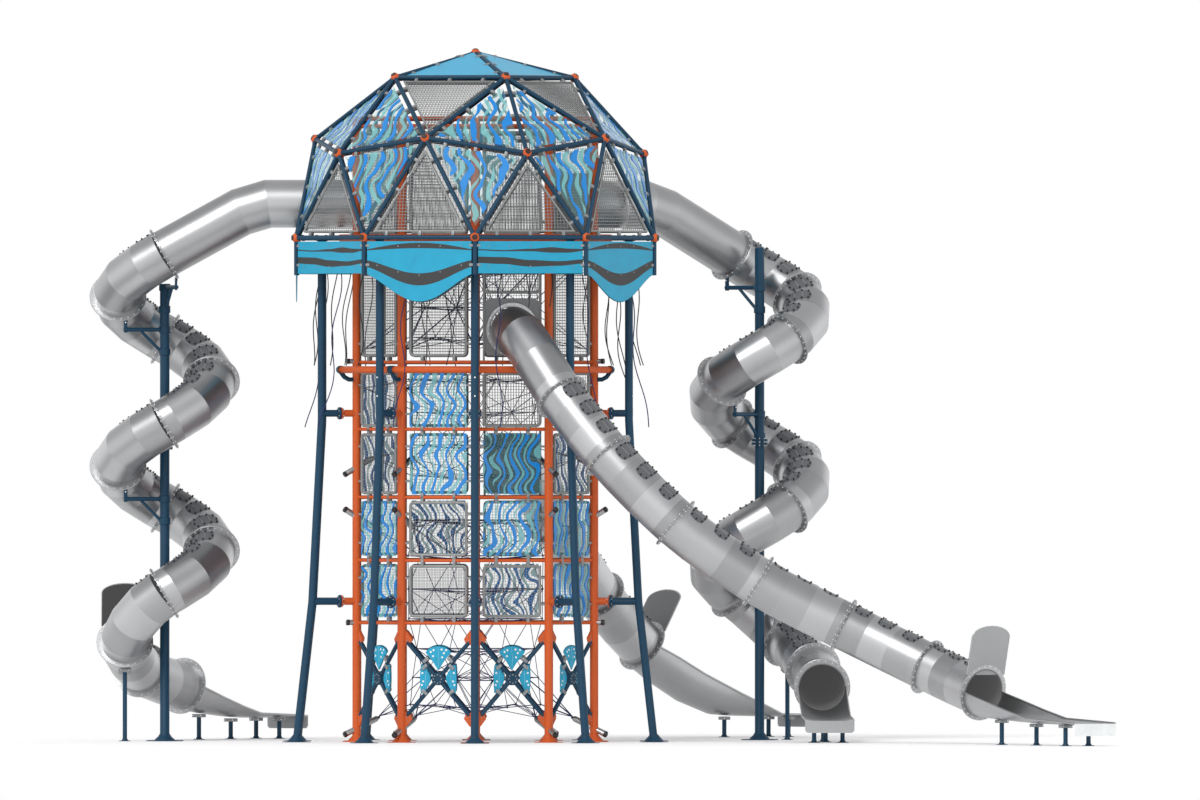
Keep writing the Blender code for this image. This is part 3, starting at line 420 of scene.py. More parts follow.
class Shape:
    """A mesh in the making, in tower coordinates, with the finish of each of its faces."""

    def __init__(self):
        self.mesh = bmesh.new()
        self.uv = self.mesh.loops.layers.uv.new("UVMap")
        self.tone = self.mesh.faces.layers.float.new("tone")
        self.finishes = []

    def paint(self, faces, finish):
        if finish not in self.finishes:
            self.finishes.append(finish)
        index = self.finishes.index(finish)
        for face in faces:
            face.material_index = index
            face.smooth = True
            face[self.tone] = 0.5

    def connected(self, start):
        """All faces that hang together with the first points."""
        seen, waiting, faces = set(start), list(start), set()
        while waiting:
            vert = waiting.pop()
            for face in vert.link_faces:
                if face not in faces:
                    faces.add(face)
                    for other in face.verts:
                        if other not in seen:
                            seen.add(other)
                            waiting.append(other)
        return faces

    def rod(self, start, end, radius, finish, sides=8, tip=None):
        along = end - start
        turn = along.to_track_quat("Z", "Y").to_matrix().to_4x4()
        matrix = Matrix.Translation((start + end) / 2) @ turn
        far = radius if tip is None else tip
        sizes = {"radius1": radius, "radius2": far, "depth": along.length, "segments": sides}
        made = bmesh.ops.create_cone(self.mesh, cap_ends=True, matrix=matrix, **sizes)["verts"]
        self.paint({face for vert in made for face in vert.link_faces}, finish)

    def ball(self, centre, radius, finish, segments=12, rings=8):
        sizes = {"u_segments": segments, "v_segments": rings, "radius": radius}
        made = bmesh.ops.create_uvsphere(self.mesh, matrix=Matrix.Translation(centre), **sizes)["verts"]
        self.paint({face for vert in made for face in vert.link_faces}, finish)

    def box(self, centre, axes, halves, finish, edge=0.0):
        matrix = Matrix.Identity(4)
        for column, (axis, half) in enumerate(zip(axes, halves)):
            for row in range(3):
                matrix[row][column] = axis.normalized()[row] * half
        made = bmesh.ops.create_cube(self.mesh, size=2, matrix=Matrix.Translation(centre) @ matrix)["verts"]
        if edge:
            edges = list({line for vert in made for line in vert.link_edges})
            rounding = {"offset": edge, "segments": 2, "profile": 0.5, "affect": "EDGES", "material": -1}
            made = bmesh.ops.bevel(self.mesh, geom=edges, **rounding)["verts"]
        self.paint(self.connected(made), finish)

    def plate(self, outline, normal, half, finish, uv=None, shift=(0, 0)):
        """A flat plate of that outline, with an optional flat UV map in metres."""
        offset = normal.normalized() * half
        face = self.mesh.faces.new([self.mesh.verts.new(point - offset) for point in outline])
        made = bmesh.ops.extrude_face_region(self.mesh, geom=[face])["geom"]
        verts = [item for item in made if isinstance(item, bmesh.types.BMVert)]
        bmesh.ops.translate(self.mesh, verts=verts, vec=offset * 2)
        faces = self.connected(verts)
        self.paint(faces, finish)
        if uv:
            self.map_flat(faces, uv, shift)
        return faces

    def map_flat(self, faces, axes, shift):
        for face in faces:
            for loop in face.loops:
                spot = loop.vert.co
                loop[self.uv].uv = (spot.dot(axes[0]) + shift[0], spot.dot(axes[1]) + shift[1])

    def lathe(self, profile, origin, axis, finish, steps=24, closed=True):
        """A turned piece from a profile of distances and heights along an axis."""
        axis = axis.normalized()
        across = axis.cross(UP) if abs(axis.z) < 0.99 else Vector((1, 0, 0))
        across.normalize()
        verts = [self.mesh.verts.new(origin + across * r + axis * h) for r, h in profile]
        pairs = list(zip(verts, verts[1:]))
        if closed:
            pairs.append((verts[-1], verts[0]))
        edges = [self.mesh.edges.new(pair) for pair in pairs]
        turning = {"angle": 2 * math.pi, "steps": steps, "use_merge": True, "use_duplicate": False}
        bmesh.ops.spin(self.mesh, geom=verts + edges, cent=origin, axis=axis, **turning)
        faces = self.connected([vert for vert in verts if vert.is_valid])
        points = list({vert for face in faces for vert in face.verts})
        bmesh.ops.remove_doubles(self.mesh, verts=points, dist=0.00005)
        self.paint(self.connected([vert for vert in points if vert.is_valid][:1]), finish)

    def skin(self, rows, finish, closed=True, sharp=False, tones=None, lengths=None):
        """A sheet through rows of points, each row drawn out of the last."""
        verts = [self.mesh.verts.new(point) for point in rows[0]]
        columns = len(verts)
        ends = range(columns if closed else columns - 1)
        edges = [self.mesh.edges.new((verts[i], verts[(i + 1) % columns])) for i in ends]
        bands, lines = [], [verts]
        for row in rows[1:]:
            made = bmesh.ops.extrude_edge_only(self.mesh, edges=edges)["geom"]
            fresh = {item for item in made if isinstance(item, bmesh.types.BMVert)}
            band = [item for item in made if isinstance(item, bmesh.types.BMFace)]
            following = []
            for vert in verts:
                for edge in vert.link_edges:
                    if edge.other_vert(vert) in fresh:
                        following.append(edge.other_vert(vert))
                        break
            for vert, point in zip(following, row):
                vert.co = point
            if sharp:
                for edge in edges:
                    edge.smooth = False
            edges = [self.mesh.edges.get((following[i], following[(i + 1) % columns])) for i in ends]
            verts = following
            bands.append(band)
            lines.append(verts)
        for i, band in enumerate(bands):
            self.paint(band, finish)
            if tones:
                for face in band:
                    face[self.tone] = tones[i % len(tones)]
        if lengths:
            self.map_round(bands, lines, lengths)
        return [face for band in bands for face in band], lines

    def map_round(self, bands, lines, lengths):
        columns = len(lines[0])
        spots = {}
        for line, length in zip(lines, lengths):
            for column, vert in enumerate(line):
                spots[vert] = (column, length)
        for band in bands:
            for face in band:
                found = [spots[loop.vert] for loop in face.loops]
                over_seam = max(c for c, _ in found) - min(c for c, _ in found) > 1
                for loop, (column, length) in zip(face.loops, found):
                    turn = columns if over_seam and column == 0 else column
                    loop[self.uv].uv = (turn / columns, length)

    def pipe(self, points, radius, finish, sides=12, closed=False, phase=0.0):
        """A round bar or tube with mitred corners, capped at its ends."""
        rows = mitred_rings(points, radius, sides, closed, phase)
        _, lines = self.skin(rows, finish)
        if closed:
            bmesh.ops.remove_doubles(self.mesh, verts=lines[0] + lines[-1], dist=0.0005)
            return
        for line in (lines[0], lines[-1]):
            cap = self.mesh.faces.new(line)
            self.paint([cap], finish)

    def thicken(self, faces, thickness):
        bmesh.ops.recalc_face_normals(self.mesh, faces=faces)
        made = bmesh.ops.solidify(self.mesh, geom=faces, thickness=thickness)["geom"]
        return [item for item in made if isinstance(item, bmesh.types.BMVert)]


def finish_piece(name, shape, nodes):
    """Turns a shape into an object of the scene that rides on the tower."""
    mesh = shape.mesh
    bmesh.ops.recalc_face_normals(mesh, faces=mesh.faces)
    bmesh.ops.translate(mesh, verts=mesh.verts, vec=AXIS)
    for edge in mesh.edges:
        if len(edge.link_faces) == 2 and edge.calc_face_angle(0) > SHARP_ANGLE:
            edge.smooth = False
    data = bpy.data.meshes.new(name)
    mesh.to_mesh(data)
    mesh.free()
    for finish in shape.finishes:
        data.materials.append(finish.material)
    piece = bpy.data.objects.new(name, data)
    bpy.context.scene.collection.objects.link(piece)
    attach(piece, "root")
    if nodes:
        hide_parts(*nodes)
    return piece


def arc(centre, first, second, radius, start, end, steps):
    """Points on an arc between two angles, in the plane of two directions."""
    turns = [math.radians(start + (end - start) * i / steps) for i in range(steps + 1)]
    return [centre + first * radius * math.cos(t) + second * radius * math.sin(t) for t in turns]


def rounded_box(middle, across, up, half_width, half_height, corner, steps=4):
    """The outline of a flat rectangle with round corners."""
    points = []
    for quarter, (sx, sy) in enumerate(((1, 1), (-1, 1), (-1, -1), (1, -1))):
        centre = middle + across * sx * (half_width - corner) + up * sy * (half_height - corner)
        points += arc(centre, across, up, corner, 90 * quarter, 90 * quarter + 90, steps)
    return points


def band_profile(inner, outer, half):
    """A square-cut ring round an axis, as a profile for a lathe."""
    return ((inner, -half), (outer, -half), (outer, half), (inner, half))


# Camera, light and floor

PIXEL = 0.0167
PHOTO_WIDTH, PHOTO_HEIGHT = 1200, 800
AXIS_COLUMN, GROUND_ROW = 475.5, 741.5
LENS, SENSOR = 1000, 36
SKY_STOPS = ((0.0, 0.46), (0.27, 0.50), (0.43, 0.92), (0.50, 1.0), (0.61, 0.95), (0.73, 0.58), (1.0, 0.48))
SKY_STRENGTH, SUN_STRENGTH = 1.20, 1.5
FLOOR_RADIUS, FLOOR_DROP = 15, 0.002


def make_camera():
    data = bpy.data.cameras.new("camera")
    data.lens = LENS
    data.sensor_width = SENSOR
    data.clip_start = 10
    data.clip_end = 3000
    camera = bpy.data.objects.new("camera", data)
    distance = PHOTO_WIDTH * PIXEL * LENS / SENSOR
    across = AXIS.x + (PHOTO_WIDTH / 2 - AXIS_COLUMN) * PIXEL
    camera.location = (across, AXIS.y - distance, (GROUND_ROW - PHOTO_HEIGHT / 2) * PIXEL)
    camera.rotation_euler = (math.radians(90), 0, 0)
    bpy.context.scene.collection.objects.link(camera)
    bpy.context.scene.camera = camera


def make_light():
    scene = bpy.context.scene
    scene.view_settings.view_transform = "Standard"
    world = bpy.data.worlds.new("studio")
    scene.world = world
    world.use_nodes = True
    nodes, links = world.node_tree.nodes, world.node_tree.links
    nodes.clear()
    place_node = nodes.new("ShaderNodeTexCoord")
    split = nodes.new("ShaderNodeSeparateXYZ")
    links.new(place_node.outputs["Generated"], split.inputs[0])
    ramp = nodes.new("ShaderNodeValToRGB")
    ramp.color_ramp.interpolation = "EASE"
    half = nodes.new("ShaderNodeMath")
    half.operation = "MULTIPLY_ADD"
    half.inputs[1].default_value = 0.5
    half.inputs[2].default_value = 0.5
    links.new(split.outputs["Z"], half.inputs[0])
    links.new(half.outputs[0], ramp.inputs[0])
    elements = ramp.color_ramp.elements
    while len(elements) < len(SKY_STOPS):
        elements.new(0.5)
    for element, (position, value) in zip(elements, SKY_STOPS):
        element.position = position
        element.color = (value, value, value * 1.01, 1)
    soft = nodes.new("ShaderNodeBackground")
    soft.inputs["Strength"].default_value = SKY_STRENGTH
    links.new(ramp.outputs[0], soft.inputs["Color"])
    white = nodes.new("ShaderNodeBackground")
    white.inputs["Color"].default_value = (1, 1, 1, 1)
    rays = nodes.new("ShaderNodeLightPath")
    choose = nodes.new("ShaderNodeMixShader")
    links.new(rays.outputs["Is Camera Ray"], choose.inputs[0])
    links.new(soft.outputs[0], choose.inputs[1])
    links.new(white.outputs[0], choose.inputs[2])
    out = nodes.new("ShaderNodeOutputWorld")
    links.new(choose.outputs[0], out.inputs["Surface"])
    key = bpy.data.lights.new("key", "SUN")
    key.energy = SUN_STRENGTH
    key.angle = math.radians(25)
    lamp = bpy.data.objects.new("key", key)
    lamp.rotation_euler = (math.radians(48), 0, math.radians(-28))
    scene.collection.objects.link(lamp)


def make_floor():
    mesh = bmesh.new()
    bmesh.ops.create_circle(mesh, cap_ends=True, segments=96, radius=FLOOR_RADIUS)
    bmesh.ops.translate(mesh, verts=mesh.verts, vec=(0, 0, -FLOOR_DROP))
    data = bpy.data.meshes.new("floor")
    mesh.to_mesh(data)
    mesh.free()
    finish = Finish("pale floor", (0.93, 0.93, 0.93), 0.9)
    finish.set(Base_Color=finish.shade(finish.noise(0.4, 2), 0.985, 1.0))
    finish.set(Emission_Color=(1, 1, 1, 1), Emission_Strength=0.12)
    data.materials.append(finish.material)
    floor = bpy.data.objects.new("floor", data)
    bpy.context.scene.collection.objects.link(floor)


# Hanging ropes

ROPE_SPREAD = 9.5
LONG_ROPE, SHORT_ROPE, FRONT_SHORT_ROPE = 3.05, 2.02, 1.05
ROPE_STEPS = 30


def rope_points(azimuth, length, wave):
    """A rope that hangs from the ring in slow waves and swings out a little at its foot."""
    off_middle = math.radians(azimuth % 18 - 9)
    start = ROPE_RING * math.cos(math.radians(9)) / math.cos(off_middle)
    points = []
    for i in range(ROPE_STEPS + 1):
        down = length * i / ROPE_STEPS
        swing = 0.035 * down * down + 0.05 * (math.cos(2 * math.pi * down / 1.6 + wave) - math.cos(wave))
        sway = 0.05 * (math.sin(2 * math.pi * down / 1.5 + wave) - math.sin(wave))
        points.append(place(azimuth, start + swing, ROPE_TOP - down) + right_of(azimuth) * sway)
    return points


def rope_place(bay, slot):
    """A rope's azimuth, and where in their swing its waves begin."""
    return (bay + 0.5) * BAY_STEP + (slot - 1) * ROPE_SPREAD, 1.3 * slot + 0.9 * bay


def hanging_rope(bay, slot):
    azimuth, wave = rope_place(bay, slot)
    length = LONG_ROPE if slot == 0 else FRONT_SHORT_ROPE if bay == 0 else SHORT_ROPE
    points = rope_points(azimuth, length, wave)
    lengths = [0.0]
    for near, far in zip(points, points[1:]):
        lengths.append(lengths[-1] + (far - near).length)
    shape = Shape()
    finish = NAVY_ROPE if slot == 0 else GREY_ROPE
    rows = mitred_rings(points, ROPE_RADIUS, 8)
    _, lines = shape.skin(rows, finish, lengths=lengths)
    for line in (lines[0], lines[-1]):
        shape.paint([shape.mesh.faces.new(line)], finish)
    name = f"hanging_rope_{bay + 1:02d}_{slot + 1}"
    rope = finish_piece(name, shape, ["hanging_ropes"])
    path = [tuple(point + AXIS) for point in points]


def rope_ring():
    shape = Shape()
    circle = [place(i * 18, ROPE_RING, ROPE_TOP) for i in range(20)]
    shape.pipe(circle, 0.022, STEEL_BLUE, 10, closed=True)
    for bay in range(BAYS):
        for slot in range(3):
            azimuth, wave = rope_place(bay, slot)
            top = rope_points(azimuth, 1.0, wave)[0]
            shape.lathe(band_profile(0.024, 0.031, 0.02), top, right_of(azimuth), CLAMP_GREY, 12)
    finish_piece("rope_ring", shape, ["hanging_ropes"])


# Tower


def face_frame(bay):
    """The start post, the direction along a face and its outward direction, and its length."""
    start = place(bay * BAY_STEP, POST_RING, 0)
    end = place((bay + 1) * BAY_STEP, POST_RING, 0)
    return start, (end - start).normalized(), heading((bay + 0.5) * BAY_STEP), (end - start).length


def on_face(bay, x, z, out=0.0):
    """A point of a tower face: x along it from its middle, z up and out in front of it."""
    start, along, outward, span = face_frame(bay)
    return start + along * (span / 2 + x) + outward * out + UP * z


FOOT_PROFILE = ((0, 0), (0.24, 0), (0.24, 0.008), (0.155, 0.012), (0.150, 0.020), (0.110, 0.060))


def upright_foot(shape, centre, neck, finish):
    """A flared foot on its ground plate."""
    profile = [*FOOT_PROFILE, (neck + 0.008, 0.100), (neck + 0.003, 0.112), (0, 0.112)]
    shape.lathe(profile, centre, UP, finish, 28, closed=False)


def post(bay):
    shape = Shape()
    azimuth = bay * BAY_STEP
    out = heading(azimuth)
    foot = place(azimuth, POST_RING, 0)
    upright_foot(shape, foot, POST_RADIUS, ORANGE)
    profile = ((0, 0.05), (POST_RADIUS, 0.05), (POST_RADIUS, POST_TOP - 0.012))
    profile += ((POST_RADIUS - 0.012, POST_TOP), (0, POST_TOP))
    shape.lathe(profile, foot, UP, ORANGE, 28, closed=False)
    for level in STUB_LEVELS:
        middle = place(azimuth, 0, level)
        profile = ((0, POST_RING), (0.058, POST_RING), (0.058, STUB_JOINT - 0.03))
        profile += ((0.088, STUB_JOINT - 0.028), (0.097, STUB_JOINT - 0.018))
        profile += ((0.097, STUB_JOINT - 0.001), (0, STUB_JOINT - 0.001))
        shape.lathe(profile, middle, out, ORANGE, 24, closed=False)
    finish_piece(f"post_{bay + 1:02d}", shape, [f"tower_post_{bay + 1:02d}"])


GUSSET = ((0.05, 1.87), (0.095, 1.845), (0.190, 1.725), (0.168, 1.665), (0.115, 1.655), (0.05, 1.60))
BRACE_LOW, BRACE_HIGH = 0.36, 1.76
BRACE_MIDDLE = (BRACE_LOW + BRACE_HIGH) / 2


def brace(bay):
    """The cross brace low on a face, its gussets and its middle boss."""
    shape = Shape()
    _, along, out, span = face_frame(bay)
    reach = span / 2 - 0.10
    for sign in (-1, 1):
        low = on_face(bay, -reach * sign, BRACE_LOW + 0.09, 0.0)
        high = on_face(bay, reach * sign, BRACE_HIGH - 0.09, 0.0)
        shape.rod(low, high, 0.033, STEEL_BLUE, 14)
        for upward in (-1, 1):
            outline = []
            for x, z in GUSSET:
                height = BRACE_MIDDLE + (z - BRACE_MIDDLE) * upward
                outline.append(on_face(bay, (span / 2 - x) * sign, height))
            shape.plate(outline, out, 0.018, ORANGE)
            for x, z in ((0.115, 1.76), (0.155, 1.70), (0.10, 1.70)):
                height = BRACE_MIDDLE + (z - BRACE_MIDDLE) * upward
                spot = on_face(bay, (span / 2 - x) * sign, height)
                shape.rod(spot - out * 0.026, spot + out * 0.026, 0.009, CLAMP_GREY, 6)
    centre = on_face(bay, 0, BRACE_MIDDLE)
    shape.rod(centre - out * 0.042, centre + out * 0.042, 0.106, STEEL_BLUE, 20)
    for i in range(8):
        spot = centre + along * 0.07 * math.cos(i * math.pi / 4) + UP * 0.07 * math.sin(i * math.pi / 4)
        shape.rod(spot - out * 0.052, spot + out * 0.052, 0.012, CLAMP_GREY, 6)
    finish_piece(f"cross_brace_{bay + 1:02d}", shape, [f"tower_post_{bay + 1:02d}"])


def play_plates(bay):
    """Three loose-looking plates held in the cross brace by clamps."""
    shape = Shape()
    _, along, out, _ = face_frame(bay)
    centre = on_face(bay, 0, BRACE_MIDDLE, 0.0)
    fan = [(0.0, 0.145), (-0.11, 0.31), (-0.225, 0.44)]
    fan += [(-0.225 + 0.45 * i / 10, 0.44 + 0.105 * math.sin(math.pi * i / 10) ** 0.6) for i in range(1, 10)]
    fan += [(0.225, 0.44), (0.11, 0.31)]
    shape.plate([centre + along * x + UP * z for x, z in fan], out, 0.008, PLATE_BLUE)
    brace_way = Vector((0.66, 0.75))
    for sign in (-1, 1):
        wing = [(0.137, -0.03), (0.137, 0.04), (0.21, 0.17), (0.255, 0.232), (0.305, 0.225)]
        wing += [(0.305 + 0.014 * math.sin(math.pi * i / 6), 0.225 - 0.46 * i / 6) for i in range(1, 6)]
        wing += [(0.305, -0.235), (0.255, -0.235), (0.20, -0.15)]
        shape.plate([centre + along * x * sign + UP * z for x, z in wing], out, 0.008, PLATE_BLUE)
        for x, z in ((0.275, 0.10), (0.262, -0.04), (0.285, -0.10)):
            spot = centre + along * x * sign + UP * z
            shape.rod(spot - out * 0.0095, spot + out * 0.0095, 0.017, PALE_DOT, 10)
        rim = ((0.215, -0.12), (0.225, 0.0), (0.215, 0.13))
        shape.pipe([centre + along * x * sign + UP * z for x, z in rim], 0.0088, PALE_DOT, 6)
        for x, z, upward in ((0.215, 0.315, 1), (0.235, 0.20, 1), (0.235, -0.22, -1)):
            spot = centre + along * x * sign + UP * z
            lean = along * sign * brace_way.x + UP * upward * brace_way.y
            across = lean.cross(out)
            shape.box(spot, (lean, across, out), (0.028, 0.058, 0.034), CLAMP_GREY, 0.008)
            shape.rod(spot, spot + out * 0.042, 0.012, CLAMP_GREY, 6)
    stem = ((0, 0.20), (0.012, 0.35), (-0.01, 0.53))
    shape.pipe([centre + along * x + UP * z for x, z in stem], 0.0088, PALE_DOT, 6)
    dots = ((-0.13, 0.45), (-0.09, 0.38), (-0.08, 0.48), (0.10, 0.43))
    dots += ((0.07, 0.36), (0.14, 0.48), (0.06, 0.49))
    for x, z in dots:
        spot = centre + along * x + UP * z
        shape.rod(spot - out * 0.0095, spot + out * 0.0095, 0.018, PALE_DOT, 10)
    finish_piece(f"play_plates_{bay + 1:02d}", shape, [])


def leg(bay):
    shape = Shape()
    azimuth = bay * BAY_STEP
    out = heading(azimuth)
    upright_foot(shape, place(azimuth, LEG_PATH[0][0], 0), LEG_RADIUS, STEEL_BLUE)
    shape.pipe([place(azimuth, r, z) for r, z in LEG_PATH], LEG_RADIUS, STEEL_BLUE, 24)
    for level, distance in zip(STUB_LEVELS, (2.86, 2.694)):
        middle = place(azimuth, 0, level)
        profile = ((0, STUB_JOINT + 0.001), (0.100, STUB_JOINT + 0.001), (0.103, STUB_JOINT + 0.006))
        profile += ((0.103, STUB_JOINT + 0.030), (0.093, STUB_JOINT + 0.042), (0.058, STUB_JOINT + 0.045))
        profile += ((0.058, distance), (0, distance))
        shape.lathe(profile, middle, out, STEEL_BLUE, 24, closed=False)
        for i in range(6):
            turn = math.radians(60 * i + 30)
            spot = middle + right_of(azimuth) * 0.078 * math.cos(turn) + UP * 0.078 * math.sin(turn)
            near, far = spot + out * (STUB_JOINT - 0.045), spot + out * (STUB_JOINT + 0.05)
            shape.rod(near, far, 0.009, BOLT_ZINC, 6)
    for level in (6.08, 5.77, 8.16):
        spot = place(azimuth, LEG_PATH[-1][0] + LEG_RADIUS, level)
        shape.rod(spot - out * 0.01, spot + out * 0.012, 0.014, BOLT_ZINC, 8)
    finish_piece(f"leg_{bay + 1:02d}", shape, [f"outer_leg_{bay + 1:02d}"])


WIRE_PITCH = 0.0475
WIRE_RADIUS = 0.0034
DOME_WIRE_PITCH = 0.0546
DOME_WIRE_RADIUS = 0.0056
FRAME_RADIUS = 0.025


def mesh_panel(shape, bay, low, high):
    """Woven wire in a round-cornered tube frame."""
    _, along, _, _ = face_frame(bay)
    half_height = (high - low) / 2
    middle = on_face(bay, 0, (low + high) / 2)
    half_width = PANEL_HALF_WIDTH - FRAME_RADIUS
    edge = rounded_box(middle, along, UP, half_width, half_height - FRAME_RADIUS, 0.06, 3)
    shape.pipe(edge, FRAME_RADIUS, FRAME_GREY, 8, closed=True)
    columns = round(2 * half_width / WIRE_PITCH)
    for i in range(1, columns):
        x = -half_width + 2 * half_width * i / columns
        foot, head = on_face(bay, x, low + 0.02, 0.003), on_face(bay, x, high - 0.02, 0.003)
        shape.rod(foot, head, WIRE_RADIUS, WIRE_GREY, 4)
    rows = round((high - low) / WIRE_PITCH)
    for i in range(1, rows):
        z = low + (high - low) * i / rows
        left, right = on_face(bay, -half_width, z, -0.003), on_face(bay, half_width, z, -0.003)
        shape.rod(left, right, WIRE_RADIUS, WIRE_GREY, 4)


def wave_panel(shape, bay, low, high):
    _, along, out, _ = face_frame(bay)
    middle = on_face(bay, 0, (low + high) / 2)
    outline = rounded_box(middle, along, UP, PANEL_HALF_WIDTH - 0.01, (high - low) / 2, 0.03, 2)
    shape.plate(outline, out, 0.008, WAVE_LOW, (along, UP), (bay * 1.37, low * 0.61))


def rail_clips(shape, bay, low, high):
    """Clips that hold a panel to the rails over and under it and to the posts beside it."""
    _, along, out, _ = face_frame(bay)
    for x in (-0.28, 0.28):
        for z in (low - 0.025, high + 0.025):
            shape.box(on_face(bay, x, z, 0.0), (along, UP, out), (0.026, 0.050, 0.030), CLAMP_GREY, 0.006)
            spot = on_face(bay, x, z, 0.03)
            shape.rod(spot - out * 0.07, spot + out * 0.012, 0.012, CLAMP_GREY, 6)
    for sign in (-1, 1):
        for z in (low + 0.22, high - 0.22):
            shape.box(on_face(bay, 0.535 * sign, z), (along, UP, out), (0.045, 0.018, 0.012), CLAMP_GREY)


def side(bay):
    """One flat side of the tower: its rails, its panels and their clips."""
    shape = Shape()
    boards = Shape()
    span = face_frame(bay)[3]
    reach = span / 2 - POST_RADIUS + 0.01
    rails = Shape()
    for level in RAIL_LEVELS:
        rails.rod(on_face(bay, -reach, level), on_face(bay, reach, level), 0.028, ORANGE, 12)
    node = f"tower_side_{bay + 1:02d}"
    for row, (low, high) in enumerate(PANEL_ROWS):
        if row == ENTRY_ROWS.get(bay):
            below, above = RAIL_LEVELS[row], RAIL_LEVELS[row + 1]
            for x in (-0.49, 0.49):
                shape.rod(on_face(bay, x, below), on_face(bay, x, above), 0.019, FRAME_GREY, 10)
            if row == 4:
                mesh_panel(shape, bay, TRANSOM_BOTTOM, high)
            continue
        if row in WAVE_ROWS[bay]:
            wave_panel(boards, bay, low, high)
        else:
            mesh_panel(shape, bay, low, high)
        rail_clips(shape, bay, low, high)
    finish_piece(f"side_rails_{bay + 1:02d}", rails, [node])
    finish_piece(f"side_panels_{bay + 1:02d}", shape, [node])
    finish_piece(f"side_boards_{bay + 1:02d}", boards, [node])


def ring_points(distance, level):
    return [place(bay * BAY_STEP, distance, level) for bay in range(BAYS)]


def ring_beams():
    shape = Shape()
    shape.pipe(ring_points(BEAM_RING, LOWER_BEAM), BEAM_RADIUS, ORANGE, 20, closed=True)
    for bay in range(BAYS):
        azimuth = bay * BAY_STEP
        path = [(2.14, 6.045), (2.22, 6.045), (2.30, 6.085), (2.35, 6.15), (BEAM_RING, 6.19)]
        shape.pipe([place(azimuth, r, z) for r, z in path], 0.036, STEEL_BLUE, 14)
        joint = place(azimuth, BEAM_RING, LOWER_BEAM)
        shape.lathe(band_profile(0.060, 0.066, 0.05), joint, right_of(azimuth), STEEL_BLUE, 20)
    finish_piece("lower_beam", shape, ["lower_ring_beam"])
    shape = Shape()
    shape.pipe(ring_points(BEAM_RING, DOME_BASE), BEAM_RADIUS, ORANGE, 20, closed=True)
    for bay in range(BAYS):
        azimuth = bay * BAY_STEP
        shape.rod(place(azimuth, 2.14, DOME_BASE), place(azimuth, 3.07, DOME_BASE), 0.039, STEEL_BLUE, 16)
        for distance in (2.17, 2.62, 2.78, 3.03):
            spot = place(azimuth, distance, DOME_BASE)
            shape.lathe(band_profile(0.036, 0.048, 0.02), spot, heading(azimuth), STEEL_BLUE, 16)
    finish_piece("upper_beam", shape, ["dome_support_ring"])


def tensioners():
    """Turnbuckle tubes through the posts that draw the net tight."""
    shape = Shape()
    runs = [((2.31, 0.11), (1.70, 0.40)), ((2.31, 3.89), (1.77, 3.57)), ((2.31, 4.45), (1.765, 4.755))]
    for bay in range(BAYS):
        azimuth = bay * BAY_STEP
        for (far_r, far_z), (near_r, near_z) in runs:
            outer, inner = place(azimuth, far_r, far_z), place(azimuth, near_r, near_z)
            along = (inner - outer).normalized()
            length = (inner - outer).length
            barrel = ((0, 0.03), (0.045, 0.03), (0.045, length - 0.05), (0.032, length - 0.02))
            barrel += ((0.012, length), (0, length))
            shape.lathe(barrel, outer, along, FLANGE_STEEL, 18, closed=False)
            cap = ((0, 0), (0.034, 0), (0.047, 0.012), (0.047, 0.055), (0, 0.055))
            shape.lathe(cap, outer, along, BLACK_PLASTIC, 18, closed=False)
            shape.ball(inner, 0.022, BLACK_PLASTIC, 10, 6)
        if bay in (2, 8, 7, 3):
            for level in (1.989, 6.35):
                outer, inner = place(azimuth, 2.25, level), place(azimuth, 2.10, level)
                shape.rod(inner, outer, 0.04, FLANGE_STEEL, 16)
                out = heading(azimuth)
                shape.rod(outer - out * 0.04, outer + out * 0.01, 0.044, BLACK_PLASTIC, 16)
    finish_piece("net_tensioners", shape, [])


